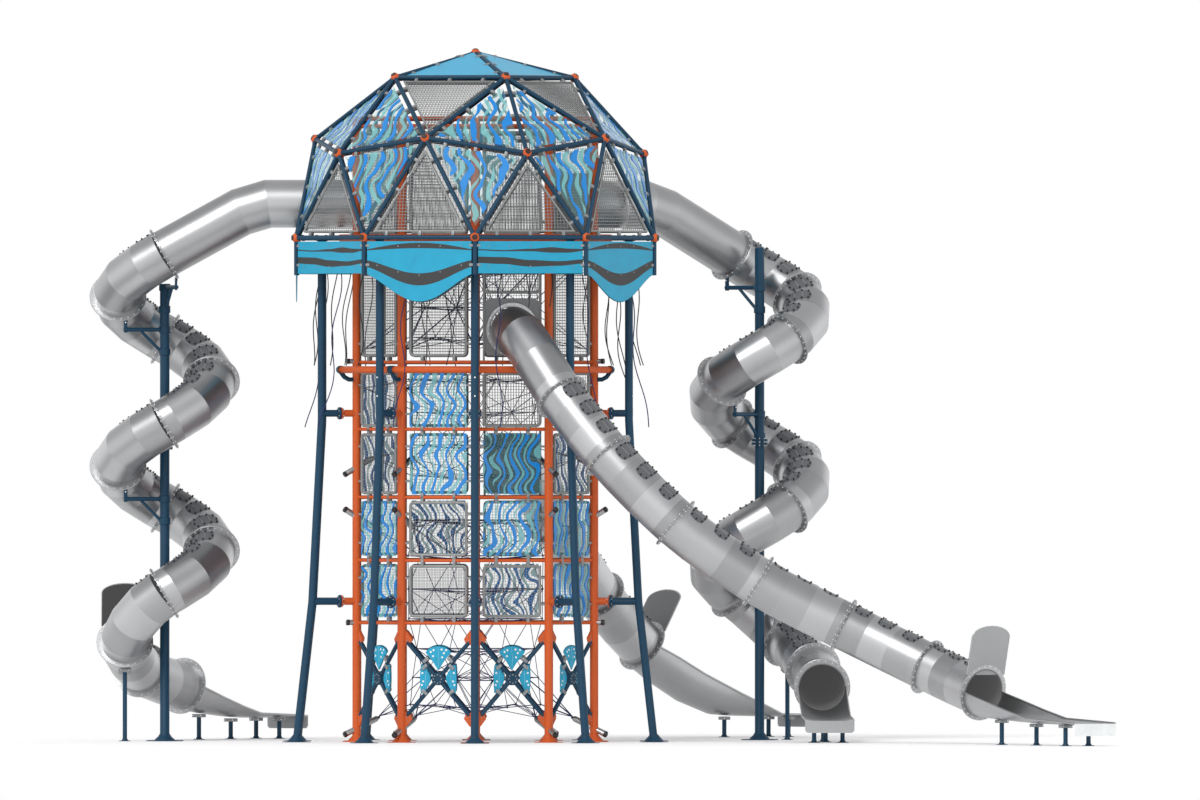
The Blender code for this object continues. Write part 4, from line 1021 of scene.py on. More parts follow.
def net():
    """The climbing net: rings, spokes and slanting ropes on every storey, tied to the posts."""
    shape = Shape()
    storeys = (
        ((0.62, 1.07, 1.55, 2.05, 2.55, 3.10, 3.70), (0.42, 3.57), (1.70, 1.77)),
        ((4.45, 4.95, 5.50, 6.05), (4.72, 5.9), (1.765, 1.95)),
        ((6.75, 7.25, 7.85), (6.55, 8.1), (1.95, 1.95)),
    )
    radius = 0.0065
    knots = set()

    def rope(start, end):
        shape.rod(start, end, radius, NET_ROPE, 5)

    def knot(point):
        key = tuple(round(value, 3) for value in point)
        if key not in knots:
            knots.add(key)
            shape.ball(point, 0.017, BLACK_PLASTIC, 8, 5)

    def tie_ring(ring, reach, height):
        for i in range(BAYS):
            tie = place(i * BAY_STEP, reach, height)
            rope(tie, ring[i])
            rope(tie, ring[(i + 9) % 10])

    shape.rod(UP * 0.55, UP * 8.30, 0.013, NET_ROPE, 8)
    for levels, tie_heights, tie_reach in storeys:
        last = None
        for number, level in enumerate(levels):
            turn = 18 if number % 2 else 0
            inner_r = 0.50 + 0.06 * math.cos(number * 2.0)
            outer_r = 1.10 + 0.08 * math.cos(number * 1.3 + 1)
            inner = [place(i * 72 + turn * 2, inner_r, level - 0.05) for i in range(5)]
            outer = [place(i * 36 + turn, outer_r, level) for i in range(10)]
            for i in range(5):
                rope(inner[i], inner[(i + 1) % 5])
                rope(UP * (level + (0.12 if number % 2 else -0.12)), inner[i])
                knot(inner[i])
            for i in range(10):
                if number or level > 1:
                    rope(outer[i], outer[(i + 1) % 10])
                rope(inner[(i // 2) % 5], outer[i])
                knot(outer[i])
            if last:
                last_inner, last_outer = last
                for i in range(10):
                    ahead = i if number % 2 else (i + 9) % 10
                    rope(last_outer[i], outer[ahead])
                    rope(last_outer[i], outer[(ahead + 1) % 10 if not number % 2 else ahead])
                for i in range(5):
                    rope(last_inner[i], inner[i])
            if number in (0, 1):
                tie_ring(outer, tie_reach[0], tie_heights[0])
            if number in (len(levels) - 1, len(levels) - 2):
                tie_ring(outer, tie_reach[1], tie_heights[1])
            last = (inner, outer)
    finish_piece("inner_net", shape, ["climbing_net"])


# Dome


def dome_corners():
    """The four levels of the dome's corners: apex, upper ring, middle ring and base ring."""
    def at(azimuth, level_radius, level_height):
        return place(azimuth, DOME_RADIUS * level_radius, DOME_BASE + DOME_RADIUS * level_height)

    return {
        "apex": at(0, 0, 1),
        "upper": [at(18 + 72 * k, 0.5257, 0.8507) for k in range(5)],
        "five": [at(18 + 72 * k, 0.8944, 0.4472) for k in range(5)],
        "six": [at(54 + 72 * k, 0.8507, 0.5257) for k in range(5)],
        "base": [at(BAY_STEP * k, 1, 0) for k in range(BAYS)],
    }


def dome_triangles():
    """The dome's triangles: its plain roof boards, its wave boards and its wire panels, by tier."""
    corners = dome_corners()
    found = {"roof": [], "upper_wave": [], "upper_wire": [], "lower_wave": [], "lower_wire": []}
    for k in range(5):
        n = (k + 1) % 5
        this, following = corners["upper"][k], corners["upper"][n]
        five, next_five, six = corners["five"][k], corners["five"][n], corners["six"][k]
        base = [corners["base"][(2 * k + i) % BAYS] for i in range(4)]
        found["roof"].append((corners["apex"], this, following))
        found["upper_wave"] += [(this, five, six), (following, six, next_five)]
        found["upper_wire"].append((this, six, following))
        found["lower_wave"] += [(five, base[1], six), (six, base[2], next_five)]
        found["lower_wire"] += [(five, base[0], base[1]), (six, base[1], base[2])]
    return found


def outward(face):
    normal = (face[1] - face[0]).cross(face[2] - face[0]).normalized()
    return -normal if normal.dot(face[0] - UP * DOME_BASE) < 0 else normal


def drawn_in(face, distance):
    """The corners of a triangle drawn in by that distance from each side."""
    a, b, c = face
    sides = [(b - c).length, (c - a).length, (a - b).length]
    centre = (a * sides[0] + b * sides[1] + c * sides[2]) / sum(sides)
    inner_radius = (b - a).cross(c - a).length / sum(sides)
    scale = 1 - distance / inner_radius
    return [centre + (point - centre) * scale for point in face]


PANEL_DROP = 0.012


def triangle_frame(shape, face, near, wide, half, finish):
    """A flat frame: a triangle drawn in from the struts, inset and pulled thick."""
    normal = outward(face)
    outline = [point - normal * (PANEL_DROP + half) for point in drawn_in(face, near)]
    base = shape.mesh.faces.new([shape.mesh.verts.new(point) for point in outline])
    base.normal_update()
    ring_faces = bmesh.ops.inset_individual(shape.mesh, faces=[base], thickness=wide)["faces"]
    bmesh.ops.delete(shape.mesh, geom=[base], context="FACES_ONLY")
    made = bmesh.ops.extrude_face_region(shape.mesh, geom=ring_faces)["geom"]
    verts = [item for item in made if isinstance(item, bmesh.types.BMVert)]
    bmesh.ops.translate(shape.mesh, verts=verts, vec=normal * half * 2)
    shape.paint(shape.connected(verts), finish)


def wire_spans(corners, direction, square, offset):
    """Where a straight wire enters and leaves a triangle, as distances along its direction."""
    crossings = []
    for i in range(3):
        a, b = corners[i], corners[(i + 1) % 3]
        da, db = a.dot(square) - offset, b.dot(square) - offset
        if (da < 0) != (db < 0):
            crossings.append(a.lerp(b, da / (da - db)).dot(direction))
    return sorted(crossings)


def triangle_wires(shape, face, hole=None):
    """Woven wire over a triangle, left out where a tube passes through."""
    normal = outward(face)
    corners = [point - normal * PANEL_DROP for point in drawn_in(face, 0.13)]
    level = normal.cross(UP).normalized()
    steep = level.cross(normal)
    depth = corners[0].dot(normal)
    for direction, square, lift in ((level, steep, 0.003), (steep, level, -0.003)):
        values = [point.dot(square) for point in corners]
        first = math.ceil(min(values) / DOME_WIRE_PITCH)
        last = math.floor(max(values) / DOME_WIRE_PITCH)
        for number in range(first, last + 1):
            offset = number * DOME_WIRE_PITCH
            spans = wire_spans(corners, direction, square, offset)
            if len(spans) < 2 or spans[1] - spans[0] < 0.03:
                continue
            base = square * offset + normal * (depth + lift)
            for near, far in free_spans(base, direction, spans, hole):
                shape.rod(base + direction * near, base + direction * far, DOME_WIRE_RADIUS, WIRE_GREY, 4)


def free_spans(base, direction, spans, hole):
    """The stretches of a wire outside the round hole about a level tube."""
    if hole is None:
        return [spans[:2]]
    axis, middle, radius = hole
    steps = 80
    found, begin = [], None
    for i in range(steps + 1):
        t = spans[0] + (spans[1] - spans[0]) * i / steps
        offset = base + direction * t - middle
        clear = (offset - axis * offset.dot(axis)).length > radius
        if clear and begin is None:
            begin = t
        if begin is not None and (not clear or i == steps):
            if t - begin > 0.03:
                found.append((begin, t))
            begin = None
    return found


def strut_clamps(shape, face):
    """Three clamps along each side of a panel."""
    normal = outward(face)
    centre = sum(face, Vector()) / 3
    for i in range(3):
        a, b = face[i], face[(i + 1) % 3]
        along = (b - a).normalized()
        inward = normal.cross(along)
        if inward.dot(centre - a) < 0:
            inward = -inward
        for share in (0.2, 0.5, 0.8):
            spot = a.lerp(b, share) + inward * 0.052 - normal * PANEL_DROP
            shape.box(spot, (along, inward, normal), (0.026, 0.056, 0.024), CLAMP_GREY, 0.006)
            tip = spot + inward * 0.018
            shape.rod(tip - normal * 0.03, tip + normal * 0.03, 0.010, CLAMP_GREY, 6)


def dome_tiers():
    triangles = dome_triangles()
    shape = Shape()
    for face in triangles["roof"]:
        normal = outward(face)
        outline = [point - normal * PANEL_DROP for point in drawn_in(face, 0.062)]
        shape.plate(outline, normal, 0.008, BOARD_BLUE)
        strut_clamps(shape, face)
    finish_piece("roof_boards", shape, ["dome_roof_panels"])
    holes = []
    for azimuth in (-90, 126):
        holes.append((heading(azimuth), place(azimuth, 0, SPIRAL_ENTRY_HEIGHT), 0.43))
    for tier, node in (("upper", "dome_upper_panels"), ("lower", "dome_lower_panels")):
        boards, wires = Shape(), Shape()
        for number, face in enumerate(triangles[f"{tier}_wave"]):
            normal = outward(face)
            level = UP.cross(normal).normalized()
            outline = [point - normal * PANEL_DROP for point in drawn_in(face, 0.094)]
            shift = (number * 1.7, number * 0.9)
            boards.plate(outline, normal, 0.007, WAVE_DOME, (level, normal.cross(level)), shift)
            strut_clamps(wires, face)
        for face in triangles[f"{tier}_wire"]:
            triangle_frame(wires, face, 0.096, 0.055, 0.012, FRAME_GREY)
            middle = sum(face, Vector()) / 3
            through = [hole for hole in holes if middle.normalized().dot(hole[0]) > 0.3 and tier == "lower"]
            near = [hole for hole in through if abs(middle.cross(hole[0]).z) < 0.5]
            triangle_wires(wires, face, near[0] if near else None)
            strut_clamps(wires, face)
        finish_piece(f"{tier}_wave_boards", boards, [node])
        finish_piece(f"{tier}_wire_panels", wires, [node])


def sunk(point):
    """The apex joint a little lower, so that it keeps to the stated height."""
    return point - UP * BALL_SINK if point.xy.length < 0.01 else point


def dome_frame():
    struts, joints = Shape(), Shape()
    triangles = dome_triangles()
    lines, points = {}, {}
    for faces in triangles.values():
        for face in faces:
            for i in range(3):
                pair = [sunk(face[i]), sunk(face[(i + 1) % 3])]
                ends = [tuple(round(value, 3) for value in point) for point in pair]
                lines[tuple(sorted(ends))] = pair
                points[ends[0]] = pair[0]
    for a, b in lines.values():
        along = (b - a).normalized()
        struts.rod(a + along * 0.05, b - along * 0.05, STRUT_RADIUS, STEEL_BLUE, 14)
        for end, way in ((a, along), (b, -along)):
            struts.rod(end + way * 0.055, end + way * 0.10, 0.041, STEEL_BLUE, 14)
    for point in points.values():
        out = (point - UP * DOME_BASE).normalized()
        joints.ball(point, BALL_RADIUS, ORANGE, 20, 12)
        joints.rod(point + out * 0.05, point + out * (BALL_RADIUS - 0.003), 0.050, BLACK_PLASTIC, 20, 0.044)
        joints.rod(point + out * 0.05, point + out * (BALL_RADIUS + 0.003), 0.016, BLACK_PLASTIC, 6)
    finish_piece("dome_struts", struts, ["dome_frame"])
    finish_piece("dome_joints", joints, ["dome_frame"])


def skirt_edge(bay, share):
    """The lower edge of a skirt board, as a height."""
    drop = SKIRT_SCALLOP * math.sin(math.pi * share) ** 1.5 if bay % 2 else 0
    return SKIRT_BOTTOM - drop


def skirt():
    shape = Shape()
    for bay in range(BAYS):
        azimuth = bay * BAY_STEP
        out = heading(azimuth + BAY_STEP / 2)
        start, end = place(azimuth, DOME_RADIUS, 0), place(azimuth + BAY_STEP, DOME_RADIUS, 0)
        steps = 24
        shares = [0.03 + 0.94 * i / steps for i in range(steps + 1)]
        outline = [start.lerp(end, shares[0]) + UP * SKIRT_TOP, start.lerp(end, shares[-1]) + UP * SKIRT_TOP]
        outline += [start.lerp(end, t) + UP * skirt_edge(bay, t) for t in reversed(shares)]
        shape.plate(outline, out, 0.007, PLATE_BLUE)
        for top, bottom in skirt_bands(bay):
            band = [start.lerp(end, t) + UP * top(t) for t in shares]
            band += [start.lerp(end, t) + UP * bottom(t) for t in reversed(shares)]
            shape.plate(band, out, 0.0085, INLAY_DARK)
        for share in (0.12, 0.31, 0.5, 0.69, 0.88):
            for z in (8.262, 7.925 if not bay % 2 else 7.99 - 0.21 * math.sin(math.pi * share) ** 1.5):
                spot = start.lerp(end, share) + UP * z
                shape.rod(spot - out * 0.014, spot + out * 0.014, 0.011, CLAMP_GREY, 8)
        corner = place(azimuth, DOME_RADIUS, 0)
        foot, head = corner + UP * (SKIRT_BOTTOM - 0.02), corner + UP * (DOME_BASE - 0.05)
        shape.rod(foot, head, 0.036, STEEL_BLUE, 14)
        before = place(azimuth - BAY_STEP, DOME_RADIUS, 0)
        for z in (8.27, 7.95):
            for sign in (-1, 1):
                along = (end - start if sign > 0 else corner - before).normalized()
                spot = corner + along * 0.062 * sign + UP * z
                normal = along.cross(UP)
                shape.box(spot, (along, UP, normal), (0.034, 0.022, 0.014), CLAMP_GREY, 0.004)
    finish_piece("skirt", shape, ["dome_skirt"])


def skirt_bands(bay):
    """The dark bands of one skirt board, each as its upper and its lower edge."""
    def bow(t):
        return math.sin(math.pi * t)

    if bay % 2:
        return [
            (lambda t: 8.196 + 0.12 * bow(t), lambda t: 8.186 + 0.039 * bow(t)),
            (lambda t: 8.032 - 0.225 * bow(t) ** 1.5, lambda t: 7.924 - 0.317 * bow(t) ** 1.5),
        ]
    return [
        (lambda t: flat_band(UPPER_BAND, t, 1), lambda t: flat_band(UPPER_BAND, t, -1)),
        (lambda t: flat_band(LOWER_BAND, t, 1), lambda t: flat_band(LOWER_BAND, t, -1)),
    ]


UPPER_BAND = ((0, 8.201, 0.010), (0.25, 8.184, 0.010), (0.5, 8.195, 0.020), (0.69, 8.197, 0.045),
              (0.84, 8.186, 0.034), (1.001, 8.200, 0.012))
LOWER_BAND = ((0, 8.032, 0.052), (0.25, 8.020, 0.057), (0.5, 7.974, 0.055), (0.75, 7.972, 0.038),
              (1.001, 8.008, 0.034))


def flat_band(stops, share, way):
    """One edge of a band on a straight skirt board: its middle line plus or minus half its width."""
    for (first, low, thin), (last, high, wide) in zip(stops, stops[1:]):
        if first <= share <= last:
            blend = (1 - math.cos(math.pi * (share - first) / (last - first))) / 2
            return low + (high - low) * blend + way * (thin + (wide - thin) * blend)
    return stops[-1][1]


# Slides


def station(point, azimuth, slope):
    """A point of a slide's middle line, with the direction that it runs there."""
    fall = math.radians(slope)
    return Vector(point), heading(azimuth) * math.cos(fall) - UP * math.sin(fall)


def curve_between(first, second, shares):
    """Points on a smooth curve between two stations, at shares of the way."""
    (p0, t0), (p1, t1) = first, second
    span = (p1 - p0).length
    found = []
    for t in shares:
        s = 1 - t
        point = p0 * (s * s * (1 + 2 * t)) + p1 * (t * t * (3 - 2 * t))
        found.append(point + t0 * (span * t * s * s) - t1 * (span * t * t * s))
    return found


def top_of(along):
    across = along.cross(UP).normalized()
    return across, across.cross(along)


def flange(shape, point, along, bolts=24):
    """Two bolted rings where lengths of tube meet."""
    across, top = top_of(along)
    for way in (1, -1):
        profile = ((BORE_RADIUS, 0.002), (FLANGE_RADIUS - 0.003, 0.002), (FLANGE_RADIUS, 0.005))
        profile += ((FLANGE_RADIUS, 0.012), (FLANGE_RADIUS - 0.004, 0.015), (BORE_RADIUS, 0.015))
        shape.lathe(profile, point, along * way, FLANGE_STEEL, 40)
    for i in range(bolts):
        turn = 2 * math.pi * (i + 0.5) / bolts
        spot = point + (across * math.cos(turn) + top * math.sin(turn)) * 0.444
        shape.rod(spot - along * 0.030, spot + along * 0.030, 0.0115, BOLT_ZINC, 6)


def window(shape, centre, along, lean):
    """A smoked window plate bent over the top of the tube, with a row of studs."""
    across, top = top_of(along)
    half_length, half_turn, corner = 0.14, 0.56, 0.5

    def at(x, y, distance):
        u = x * math.sqrt(1 - corner * y * y / 2)
        v = y * math.sqrt(1 - corner * x * x / 2)
        turn = lean + v * half_turn
        radial = top * math.cos(turn) + across * math.sin(turn)
        return centre + along * u * half_length + radial * distance, radial

    made = bmesh.ops.create_grid(shape.mesh, x_segments=8, y_segments=10, size=1)["verts"]
    for vert in made:
        vert.co = at(vert.co.x, vert.co.y, TUBE_RADIUS + 0.004)[0]
    faces = list({face for vert in made for face in vert.link_faces})
    for face in faces:
        face.normal_update()
        if face.normal.dot(face.calc_center_median() - centre) < 0:
            face.normal_flip()
    bmesh.ops.solidify(shape.mesh, geom=faces, thickness=0.014)
    shape.paint(shape.connected(made), WINDOW_GREY)
    for x, y in ((-0.82, -0.82), (0, -0.88), (0.82, -0.82), (0.86, -0.3), (0.86, 0.3),
                 (0.82, 0.82), (0, 0.88), (-0.82, 0.82), (-0.86, 0.3), (-0.86, -0.3)):
        spot, radial = at(x, y, TUBE_RADIUS)
        shape.rod(spot, spot + radial * 0.026, 0.0165, BLACK_PLASTIC, 8, 0.014)
    for y in (-0.3, 0.3):
        spot, radial = at(0, y, TUBE_RADIUS + 0.004)
        shape.box(spot, (along, radial, along.cross(radial)), (half_length * 0.8, 0.003, 0.006), FRAME_GREY)


def tube(shape, points, first_tone):
    """A tube of straight lengths with sharp mitres, and a wall."""
    rows = mitred_rings(points, TUBE_RADIUS, 40)
    # Each length gets its own tone, a painted reflection that stands in for the light each mitred length
    # catches.
    tones = [0.5 + 0.5 * math.sin(2.4 * (i + first_tone)) for i in range(len(rows) - 1)]
    faces, _ = shape.skin(rows, TUBE_STEEL, sharp=True, tones=tones)
    start = shape.thicken(faces, TUBE_WALL)
    inner = [face for face in shape.connected(start[:1]) if near_axis(face.calc_center_median(), points)]
    # The inner faces take the dark painted shade with its faint painted glow.
    shape.paint(inner, TUBE_INSIDE_SHADE_AND_GLOW)


def near_axis(spot, points):
    """Whether a spot lies inside the middle of the tube's wall."""
    for a, b in zip(points, points[1:]):
        along = (b - a).normalized()
        reach = (spot - a).dot(along)
        if -0.02 <= reach <= (b - a).length + 0.02:
            if (spot - a - along * reach).length < TUBE_RADIUS - TUBE_WALL / 2:
                return True
    return False


def slide_section(shape, points, first_tone, windows, bend):
    """One run of tube from station to station, with windows on its longer lengths."""
    tube(shape, points, first_tone)
    for i in windows:
        a, b = points[i], points[i + 1]
        lean = bend[i // 4] if isinstance(bend, list) else bend
        window(shape, (a + b) / 2, (b - a).normalized(), lean)


SECTION_SHARES = (0.267, 0.578, 0.889)


def trough_row(floor, side_way, top, rim, count=14):
    """Points of an open run-out's cross-section, an arc with its edges rim high."""
    half, height = TROUGH_HALF - 0.012, rim - 0.006
    curve = (half * half + height * height) / (2 * height)
    shallow = height < curve
    reach = math.atan2(half, curve - height) if shallow else math.pi - math.asin(min(1.0, half / curve))
    points = []
    for i in range(count + 1):
        turn = reach * (2 * i / count - 1)
        rise = 0.006 + curve * (1 - math.cos(turn))
        points.append(floor + side_way * curve * math.sin(turn) + top * rise)
    return points


def run_out(shape, mouth, stations, lip_finish):
    """The open trough after a slide's mouth, with rolled edges and a turned-down lip."""
    point, along = mouth
    across, top = top_of(along)
    rows = [trough_row(point - top * TROUGH_HALF, across, top, TROUGH_HALF)]
    for floor, azimuth, slope, rim in stations:
        floor, along = station(floor, azimuth, slope)
        way = right_of(azimuth)
        rows.append(trough_row(floor, way, way.cross(along), rim))
    smooth = [rows[0]]
    for near, far in zip(rows, rows[1:]):
        smooth.append([a.lerp(b, 0.5) for a, b in zip(near, far)])
        smooth.append(far)
    faces, _ = shape.skin(smooth, TUBE_STEEL, closed=False)
    shape.thicken(faces, 0.012)
    for column in (0, -1):
        shape.pipe([row[column] for row in rows], 0.018, TUBE_STEEL, 10)
    end, azimuth, _, rim = stations[-1]
    ahead, way = heading(azimuth), right_of(azimuth)
    middle = Vector(end) + UP * (0.5 * rim - 0.085) - ahead * 0.008
    outline = [middle + way * x + UP * z for x, z in lip_outline()]
    shape.plate(outline, ahead, 0.009, lip_finish)


def lip_outline():
    """The turned-down lip, square at the top and round at its lower corners."""
    points = [(0.41, 0.10), (-0.41, 0.10)]
    for middle, first in ((-0.35, 180), (0.35, 270)):
        for degrees in range(first, first + 91, 15):
            turn = math.radians(degrees)
            points.append((middle + 0.06 * math.cos(turn), -0.04 + 0.06 * math.sin(turn)))
    return points


def climb_guard(shape, point, along, reach, finish):
    """The upright plate on a flange that keeps anyone from climbing over the tube."""
    across, top = top_of(along)
    low, high, half = 0.30, reach, 0.39
    outline = [(-half, low), (half, low)]
    turns = [math.radians(degrees) for degrees in range(0, 181, 12)]
    outline += [(half * math.cos(t), high - 0.18 + 0.18 * math.sin(t)) for t in turns]
    shape.plate([point + across * x + top * z for x, z in outline], along, 0.009, finish)
    edge = [point + across * x + top * z for x, z in outline[1:]]
    edge.append(point - across * half + top * low)
    shape.pipe(edge, 0.012, FLANGE_STEEL, 8)


def slide_leg(shape, x, y, top, ahead):
    """A leg under a run-out, with its ground plate and its clamp head."""
    foot = Vector((x, y, 0))
    plate = ((0, 0), (0.10, 0), (0.10, 0.008), (0.055, 0.012), (0.042, 0.04), (0, 0.04))
    shape.lathe(plate, foot, UP, STEEL_BLUE, 18, closed=False)
    shape.rod(foot + UP * 0.01, foot + UP * (top - 0.03), 0.038, STEEL_BLUE, 14)
    way = ahead.cross(UP)
    shape.box(foot + UP * (top - 0.05), (way, ahead, UP), (0.11, 0.05, 0.028), CLAMP_GREY, 0.008)
    for sign in (-1, 1):
        spot = foot + UP * (top - 0.05) + way * 0.08 * sign
        shape.rod(spot - ahead * 0.06, spot + ahead * 0.06, 0.012, BOLT_ZINC, 6)


def entry_plate(shape, azimuth, axis_height, low, high):
    """The plate in the tower's face, with the round opening of the slide and its studded ring."""
    out, way = heading(azimuth), right_of(azimuth)
    centre = out * FACE_DISTANCE + UP * axis_height
    count = 48
    rows = [[], []]
    for i in range(count):
        turn = 2 * math.pi * i / count
        ray = way * math.cos(turn) + UP * math.sin(turn)
        rows[0].append(centre + ray * BORE_RADIUS)
        up_room = high - axis_height if ray.z > 0 else axis_height - low
        side_reach = ENTRY_HALF_WIDTH / max(1e-6, abs(math.cos(turn)))
        up_reach = up_room / max(1e-6, abs(math.sin(turn)))
        rows[1].append(centre + ray * min(side_reach, up_reach))
    faces, lines = shape.skin([[point + out * 0.012 for point in row] for row in rows], GUARD_MID)
    bmesh.ops.recalc_face_normals(shape.mesh, faces=faces)
    if faces[0].normal.dot(out) < 0:
        bmesh.ops.reverse_faces(shape.mesh, faces=faces)
    bmesh.ops.solidify(shape.mesh, geom=faces, thickness=0.02)
    shape.paint(shape.connected(lines[0]), GUARD_MID)
    ring = ((BORE_RADIUS, 0.01), (0.455, 0.01), (0.455, 0.025))
    ring += ((0.45, 0.03), (0.40, 0.03), (BORE_RADIUS, 0.03))
    shape.lathe(ring, centre, out, FLANGE_STEEL, 48)
    for i in range(20):
        turn = 2 * math.pi * (i + 0.5) / 20
        spot = centre + (way * math.cos(turn) + UP * math.sin(turn)) * 0.428
        shape.rod(spot + out * 0.02, spot + out * 0.042, 0.013, BOLT_ZINC, 6)


def spiral_point(azimuth, extra, turn, wider=1.0):
    out, way = heading(azimuth), right_of(azimuth)
    angle = math.radians(turn)
    height = SPIRAL_FIRST_FLANGE - SPIRAL_PITCH * turn / 360
    forward = SPIRAL_START + extra + SPIRAL_RADIUS * wider * math.sin(angle)
    aside = SPIRAL_RADIUS * (1 - wider * math.cos(angle))
    return out * forward + way * aside + UP * height


SPIRAL_SLOPE = math.degrees(math.atan(SPIRAL_PITCH / (2 * math.pi * SPIRAL_RADIUS)))
MITRE_TURNS = (24, 52, 80)
RUN_OUT = (
    (0.6, 0.425, 6, 0.29),
    (1.2, 0.375, 4, 0.18),
    (1.75, 0.35, 1, 0.08),
    (2.95, 0.34, 0, 0.05),
    (3.12, 0.33, 0, 0.045),
)


def spiral_station(azimuth, extra, turn):
    return station(spiral_point(azimuth, extra, turn), azimuth - turn, SPIRAL_SLOPE)


def spiral_turn(name, node, azimuth, extra, first):
    """One whole turn of a spiral slide."""
    shape = Shape()
    points = []
    for quarter in range(4):
        base = first + 90 * quarter
        points.append(spiral_point(azimuth, extra, base))
        points += [spiral_point(azimuth, extra, base + turn, 1.012) for turn in MITRE_TURNS]
    points.append(spiral_point(azimuth, extra, first + 360))
    windows = [4 * quarter + i for quarter in range(4) for i in (0, 1, 2)]
    slide_section(shape, points, first / 7, windows, math.radians(16))
    for quarter in range(4):
        flange(shape, *spiral_station(azimuth, extra, first + 90 * quarter))
    finish_piece(name, shape, [node])


def spiral_entry(side_name, azimuth, extra):
    shape = Shape()
    out = heading(azimuth)
    entry_plate(shape, azimuth, SPIRAL_ENTRY_HEIGHT, 8.46, 9.50)
    points = [
        out * (FACE_DISTANCE + 0.01) + UP * SPIRAL_ENTRY_HEIGHT,
        out * 3.465 + UP * 8.981,
        out * 3.921 + UP * 8.843,
        spiral_point(azimuth, extra, 0),
    ]
    tube(shape, points, 3)
    finish_piece(f"{side_name}_entry_tube", shape, [f"{side_name}_spiral_entry"])


def section_points(stations):
    """The corners of a tube through some stations, each station among them."""
    points = [stations[0][0]]
    for first, second in zip(stations, stations[1:]):
        points += curve_between(first, second, SECTION_SHARES)
        points.append(second[0])
    return points


def spiral_exit(side_name, azimuth, extra, guard_finish, lip_finish):
    out, way = heading(azimuth), right_of(azimuth)
    begin = spiral_station(azimuth, extra, 720)
    start = SPIRAL_START + extra
    low = begin[0].z - 0.818
    guard = station(out * (start + 0.665) + way * 0.665 + UP * low, azimuth - 90, 27)
    between = station(out * (start + 0.395) + way * 1.765 + UP * (low - 0.48), azimuth - 110, 17)
    mouth = station(out * (4.927 + extra) + way * 2.92 + UP * 0.902, azimuth - 124, 9)
    shape = Shape()
    points = section_points([begin, guard, between, mouth])
    slide_section(shape, points, 5, (0, 1, 2, 4, 5, 6), math.radians(14))
    for spot in (begin, guard, between, (mouth[0] - mouth[1] * 0.018, mouth[1])):
        flange(shape, *spot)
    azimuth_out = azimuth - 124
    ahead = heading(azimuth_out)
    aside = right_of(azimuth_out)
    ground = Vector((mouth[0].x, mouth[0].y, 0))
    stations = [(ground + ahead * d + UP * z, azimuth_out, slope, rim) for d, z, slope, rim in RUN_OUT]
    run_out(shape, mouth, stations, lip_finish)
    climb_guard(shape, guard[0], guard[1], 1.09, guard_finish)
    finish_piece(f"{side_name}_exit_tube", shape, [f"{side_name}_spiral_exit"])
    legs = Shape()
    feet = ((0.48, 0, 0.45), (1.42, 0, 0.37), (2.515, -0.237, 0.373), (2.515, 0.237, 0.373))
    for distance, offset, top in feet:
        foot = ground + ahead * distance + aside * offset
        slide_leg(legs, foot.x, foot.y, top, ahead)
    prop = guard[0]
    slide_leg(legs, prop.x, prop.y, prop.z - FLANGE_RADIUS + 0.03, guard[1])
    finish_piece(f"{side_name}_exit_legs", legs, [f"{side_name}_spiral_exit"])


ARM_REACH = 0.68


def spiral_pole(side_name, azimuth, extra, arms, top):
    """The pole in the middle of a spiral, with its arms to the flanges."""
    shape = Shape()
    out, way = heading(azimuth), right_of(azimuth)
    axis = out * (SPIRAL_START + extra) + way * SPIRAL_RADIUS
    profile = ((0, 0), (0.31, 0), (0.31, 0.014), (0.17, 0.018), (0.165, 0.03), (0.115, 0.075))
    profile += ((0.092, 0.11), (0.08, 0.13), (0.08, top - 0.03), (0.065, top - 0.008), (0, top))
    shape.lathe(profile, axis, UP, STEEL_BLUE, 28, closed=False)
    collar = 5.0 if top > 8 else 4.93
    for level in (collar - 0.03, collar + 0.03):
        shape.lathe(band_profile(0.078, 0.135, 0.02), axis + UP * level, UP, STEEL_BLUE, 24)
    for i in range(8):
        turn = math.radians(45 * i)
        spot = axis + Vector((math.cos(turn), math.sin(turn), 0)) * 0.112 + UP * collar
        shape.rod(spot - UP * 0.065, spot + UP * 0.065, 0.011, BOLT_ZINC, 6)
    for turn in arms:
        point, along = spiral_station(azimuth, extra, turn)
        across, upward = top_of(along)
        lowest = point - upward * FLANGE_RADIUS
        level = lowest.z - 0.14
        tip = Vector((lowest.x, lowest.y, level))
        way_out = (tip - axis - UP * level).normalized()
        tip = axis + UP * level + way_out * ARM_REACH
        shape.rod(axis + UP * level, tip + way_out * 0.03, 0.036, STEEL_BLUE, 14)
        low, high = axis + way_out * 0.05 + UP * (level - 0.38), axis + UP * level + way_out * 0.44
        shape.rod(low, high, 0.027, STEEL_BLUE, 12)
        for height in (level, level - 0.37):
            sleeve = ((0.078, -0.06), (0.096, -0.055), (0.096, 0.055), (0.078, 0.06))
            shape.lathe(sleeve, axis + UP * height, UP, STEEL_BLUE, 24)
        upright = tip + UP * 0.06
        flat = Vector((along.x, along.y, 0)).normalized()
        shape.box(upright, (way_out, flat, UP), (0.032, 0.014, 0.11), STEEL_BLUE, 0.006)
        for sign in (-1, 1):
            spot = upright + UP * (0.06 * sign)
            shape.rod(spot - flat * 0.03, spot + flat * 0.03, 0.012, BOLT_ZINC, 6)
    finish_piece(f"{side_name}_pole", shape, [f"{side_name}_spiral_pole"])


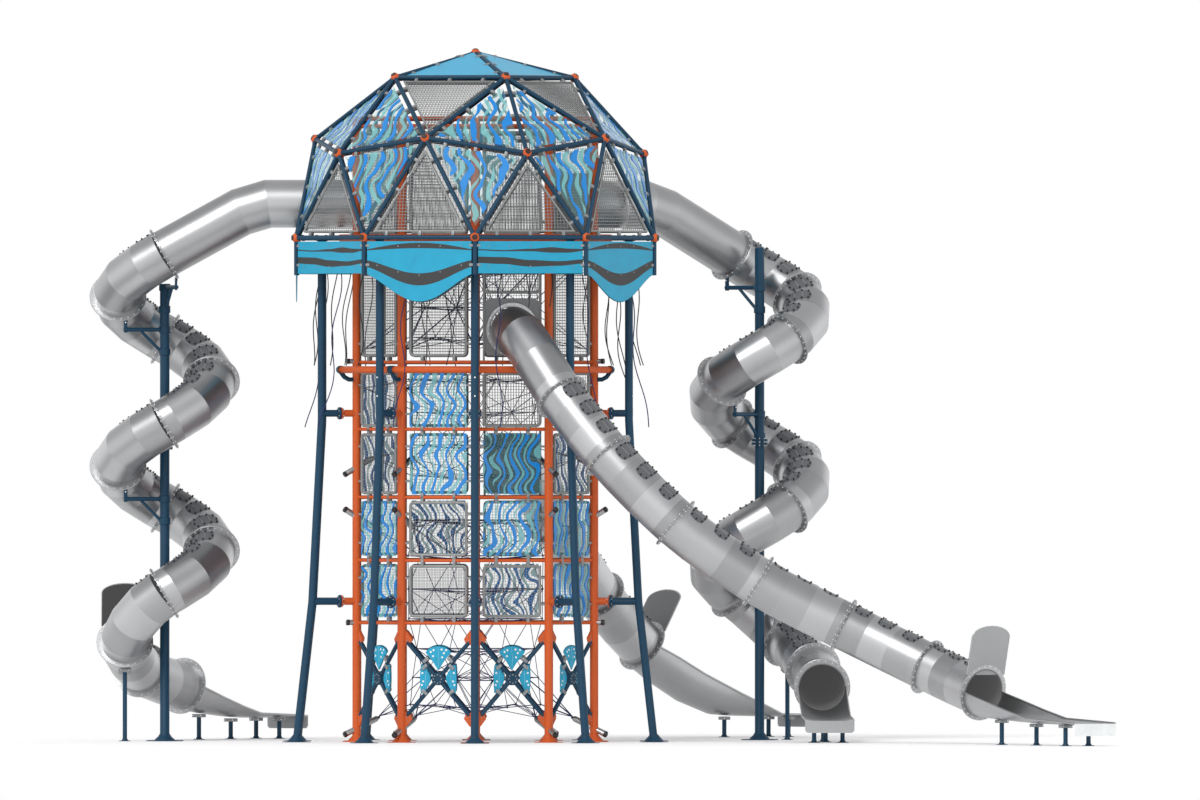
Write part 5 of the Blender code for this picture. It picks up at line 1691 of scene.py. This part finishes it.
def spiral_slide(side_name, azimuth, extra, arms, pole_top, guard_finish, lip_finish):
    spiral_entry(side_name, azimuth, extra)
    spiral_turn(f"{side_name}_first_turn", f"{side_name}_spiral_upper_turn", azimuth, extra, 0)
    spiral_turn(f"{side_name}_second_turn", f"{side_name}_spiral_lower_turn", azimuth, extra, 360)
    spiral_exit(side_name, azimuth, extra, guard_finish, lip_finish)
    spiral_pole(side_name, azimuth, extra, arms, pole_top)


def long_slide(
        name, azimuth, axis_height, plate, stations, splits, run, legs, guard_finish, lip_finish, lean):
    """A slide that swings away from the tower in one long curve, split at some of its flanges."""
    start = station(place(azimuth, FACE_DISTANCE + 0.01, axis_height), azimuth, 0)
    stations = [start, *stations]
    bounds = [0, *splits, len(stations) - 1]
    labels = ["entry", "middle", "exit"] if len(splits) == 2 else ["entry", "exit"]
    for label, first, last in zip(labels, bounds, bounds[1:]):
        shape = Shape()
        piece_stations = stations[first : last + 1]
        points = section_points(piece_stations)
        count = len(piece_stations) - 1
        leans = [math.radians(value) for value in lean[first:last]]
        windows = [4 * section + i for section in range(count) if section + first for i in (0, 1, 2)]
        slide_section(shape, points, first * 2, windows, leans)
        for spot in piece_stations[1:]:
            if spot is stations[-1]:
                spot = (spot[0] - spot[1] * 0.018, spot[1])
            flange(shape, *spot)
        if label == "entry":
            entry_plate(shape, azimuth, axis_height, *plate)
        if label == "exit":
            mouth = stations[-1]
            run_out(shape, mouth, run, lip_finish)
            climb_guard(shape, mouth[0] - mouth[1] * 0.018, mouth[1], 1.12, guard_finish)
            supports = Shape()
            for x, y, top in legs:
                slide_leg(supports, x, y, top, heading(run[-1][1]))
            finish_piece(f"{name}_legs", supports, [f"{name}_exit"])
        finish_piece(f"{name}_{label}_tube", shape, [f"{name}_{label}"])


def front_slide():
    stations = [
        station((1.445, -3.073, 5.753), 45, 44),
        station((2.213, -3.515, 4.785), 67, 46),
        station((3.332, -3.752, 3.666), 86, 41),
        station((4.701, -3.68, 2.697), 92, 32),
        station((6.12, -3.63, 1.962), 84, 26),
        station((7.507, -4.05, 1.278), 62, 23),
        station((8.425, -4.96, 0.86), 38, 13),
    ]
    run = [
        ((8.72, -5.37, 0.42), 35, 6, 0.31),
        ((9.09, -5.90, 0.385), 34, 4, 0.19),
        ((9.452, -6.413, 0.36), 34, 1, 0.08),
        ((10.07, -7.31, 0.34), 34, 0, 0.05),
        ((10.24, -7.57, 0.33), 34, 0, 0.045),
    ]
    legs = [(8.725, -5.38, 0.44), (9.288, -6.18, 0.38), (9.752, -7.27, 0.375), (10.134, -7.012, 0.375)]
    long_slide(
        "front_slide", 18, 6.872, (6.438, 7.39), stations, (2, 5), run, legs, GUARD_LIGHT, PALE_DOT,
        (0, 16, 26, 20, -8, 10, -10))


def back_slide():
    stations = [
        station((1.30, 3.70, 3.67), 156, 37),
        station((2.05, 5.20, 2.42), 149, 36),
        station((2.80, 6.20, 1.545), 134, 33),
    ]
    run = [
        ((2.965, 6.345, 0.92), 132, 31, 0.50),
        ((3.43, 6.735, 0.603), 130, 25, 0.52),
        ((3.945, 7.137, 0.382), 128, 11, 0.48),
        ((4.24, 7.36, 0.357), 127, 4, 0.37),
        ((4.65, 7.657, 0.345), 126, 2, 0.19),
        ((4.93, 7.86, 0.338), 126, 0, 0.05),
        ((5.344, 8.16, 0.33), 126, 0, 0.045),
    ]
    legs = [(4.182, 7.315, 0.37), (4.935, 8.215, 0.37), (5.269, 7.755, 0.37)]
    long_slide(
        "back_slide", 162, 4.618, (4.13, 5.15), stations, (2,), run, legs, GUARD_MID, GUARD_LIGHT, (0, 10, 8))


def deck_covering():
    for name in ("lower_deck", "middle_deck", "upper_deck"):
        node = frame["nodes"][name]
        for thing in [node, *node.children_recursive]:
            if thing.type == "MESH":
                thing.data.materials.clear()
                thing.data.materials.append(DECK_BLACK.material)


def main():
    make_camera()
    make_light()
    make_floor()
    for bay in range(BAYS):
        for slot in range(3):
            hanging_rope(bay, slot)
    rope_ring()
    for bay in range(BAYS):
        post(bay)
        brace(bay)
        play_plates(bay)
        leg(bay)
        side(bay)
    ring_beams()
    deck_covering()
    tensioners()
    net()
    dome_tiers()
    dome_frame()
    skirt()
    # Its climb guard takes the guard painted near black as shade.
    spiral_slide("left", -90, 0.0, (0, 90, 450), 7.62, GUARD_PAINTED_SHADE, GUARD_LIGHT)
    spiral_slide("right", 126, 0.11, (0, 270), 8.27, GUARD_LIGHT, GUARD_LIGHT)
    front_slide()
    back_slide()


main()
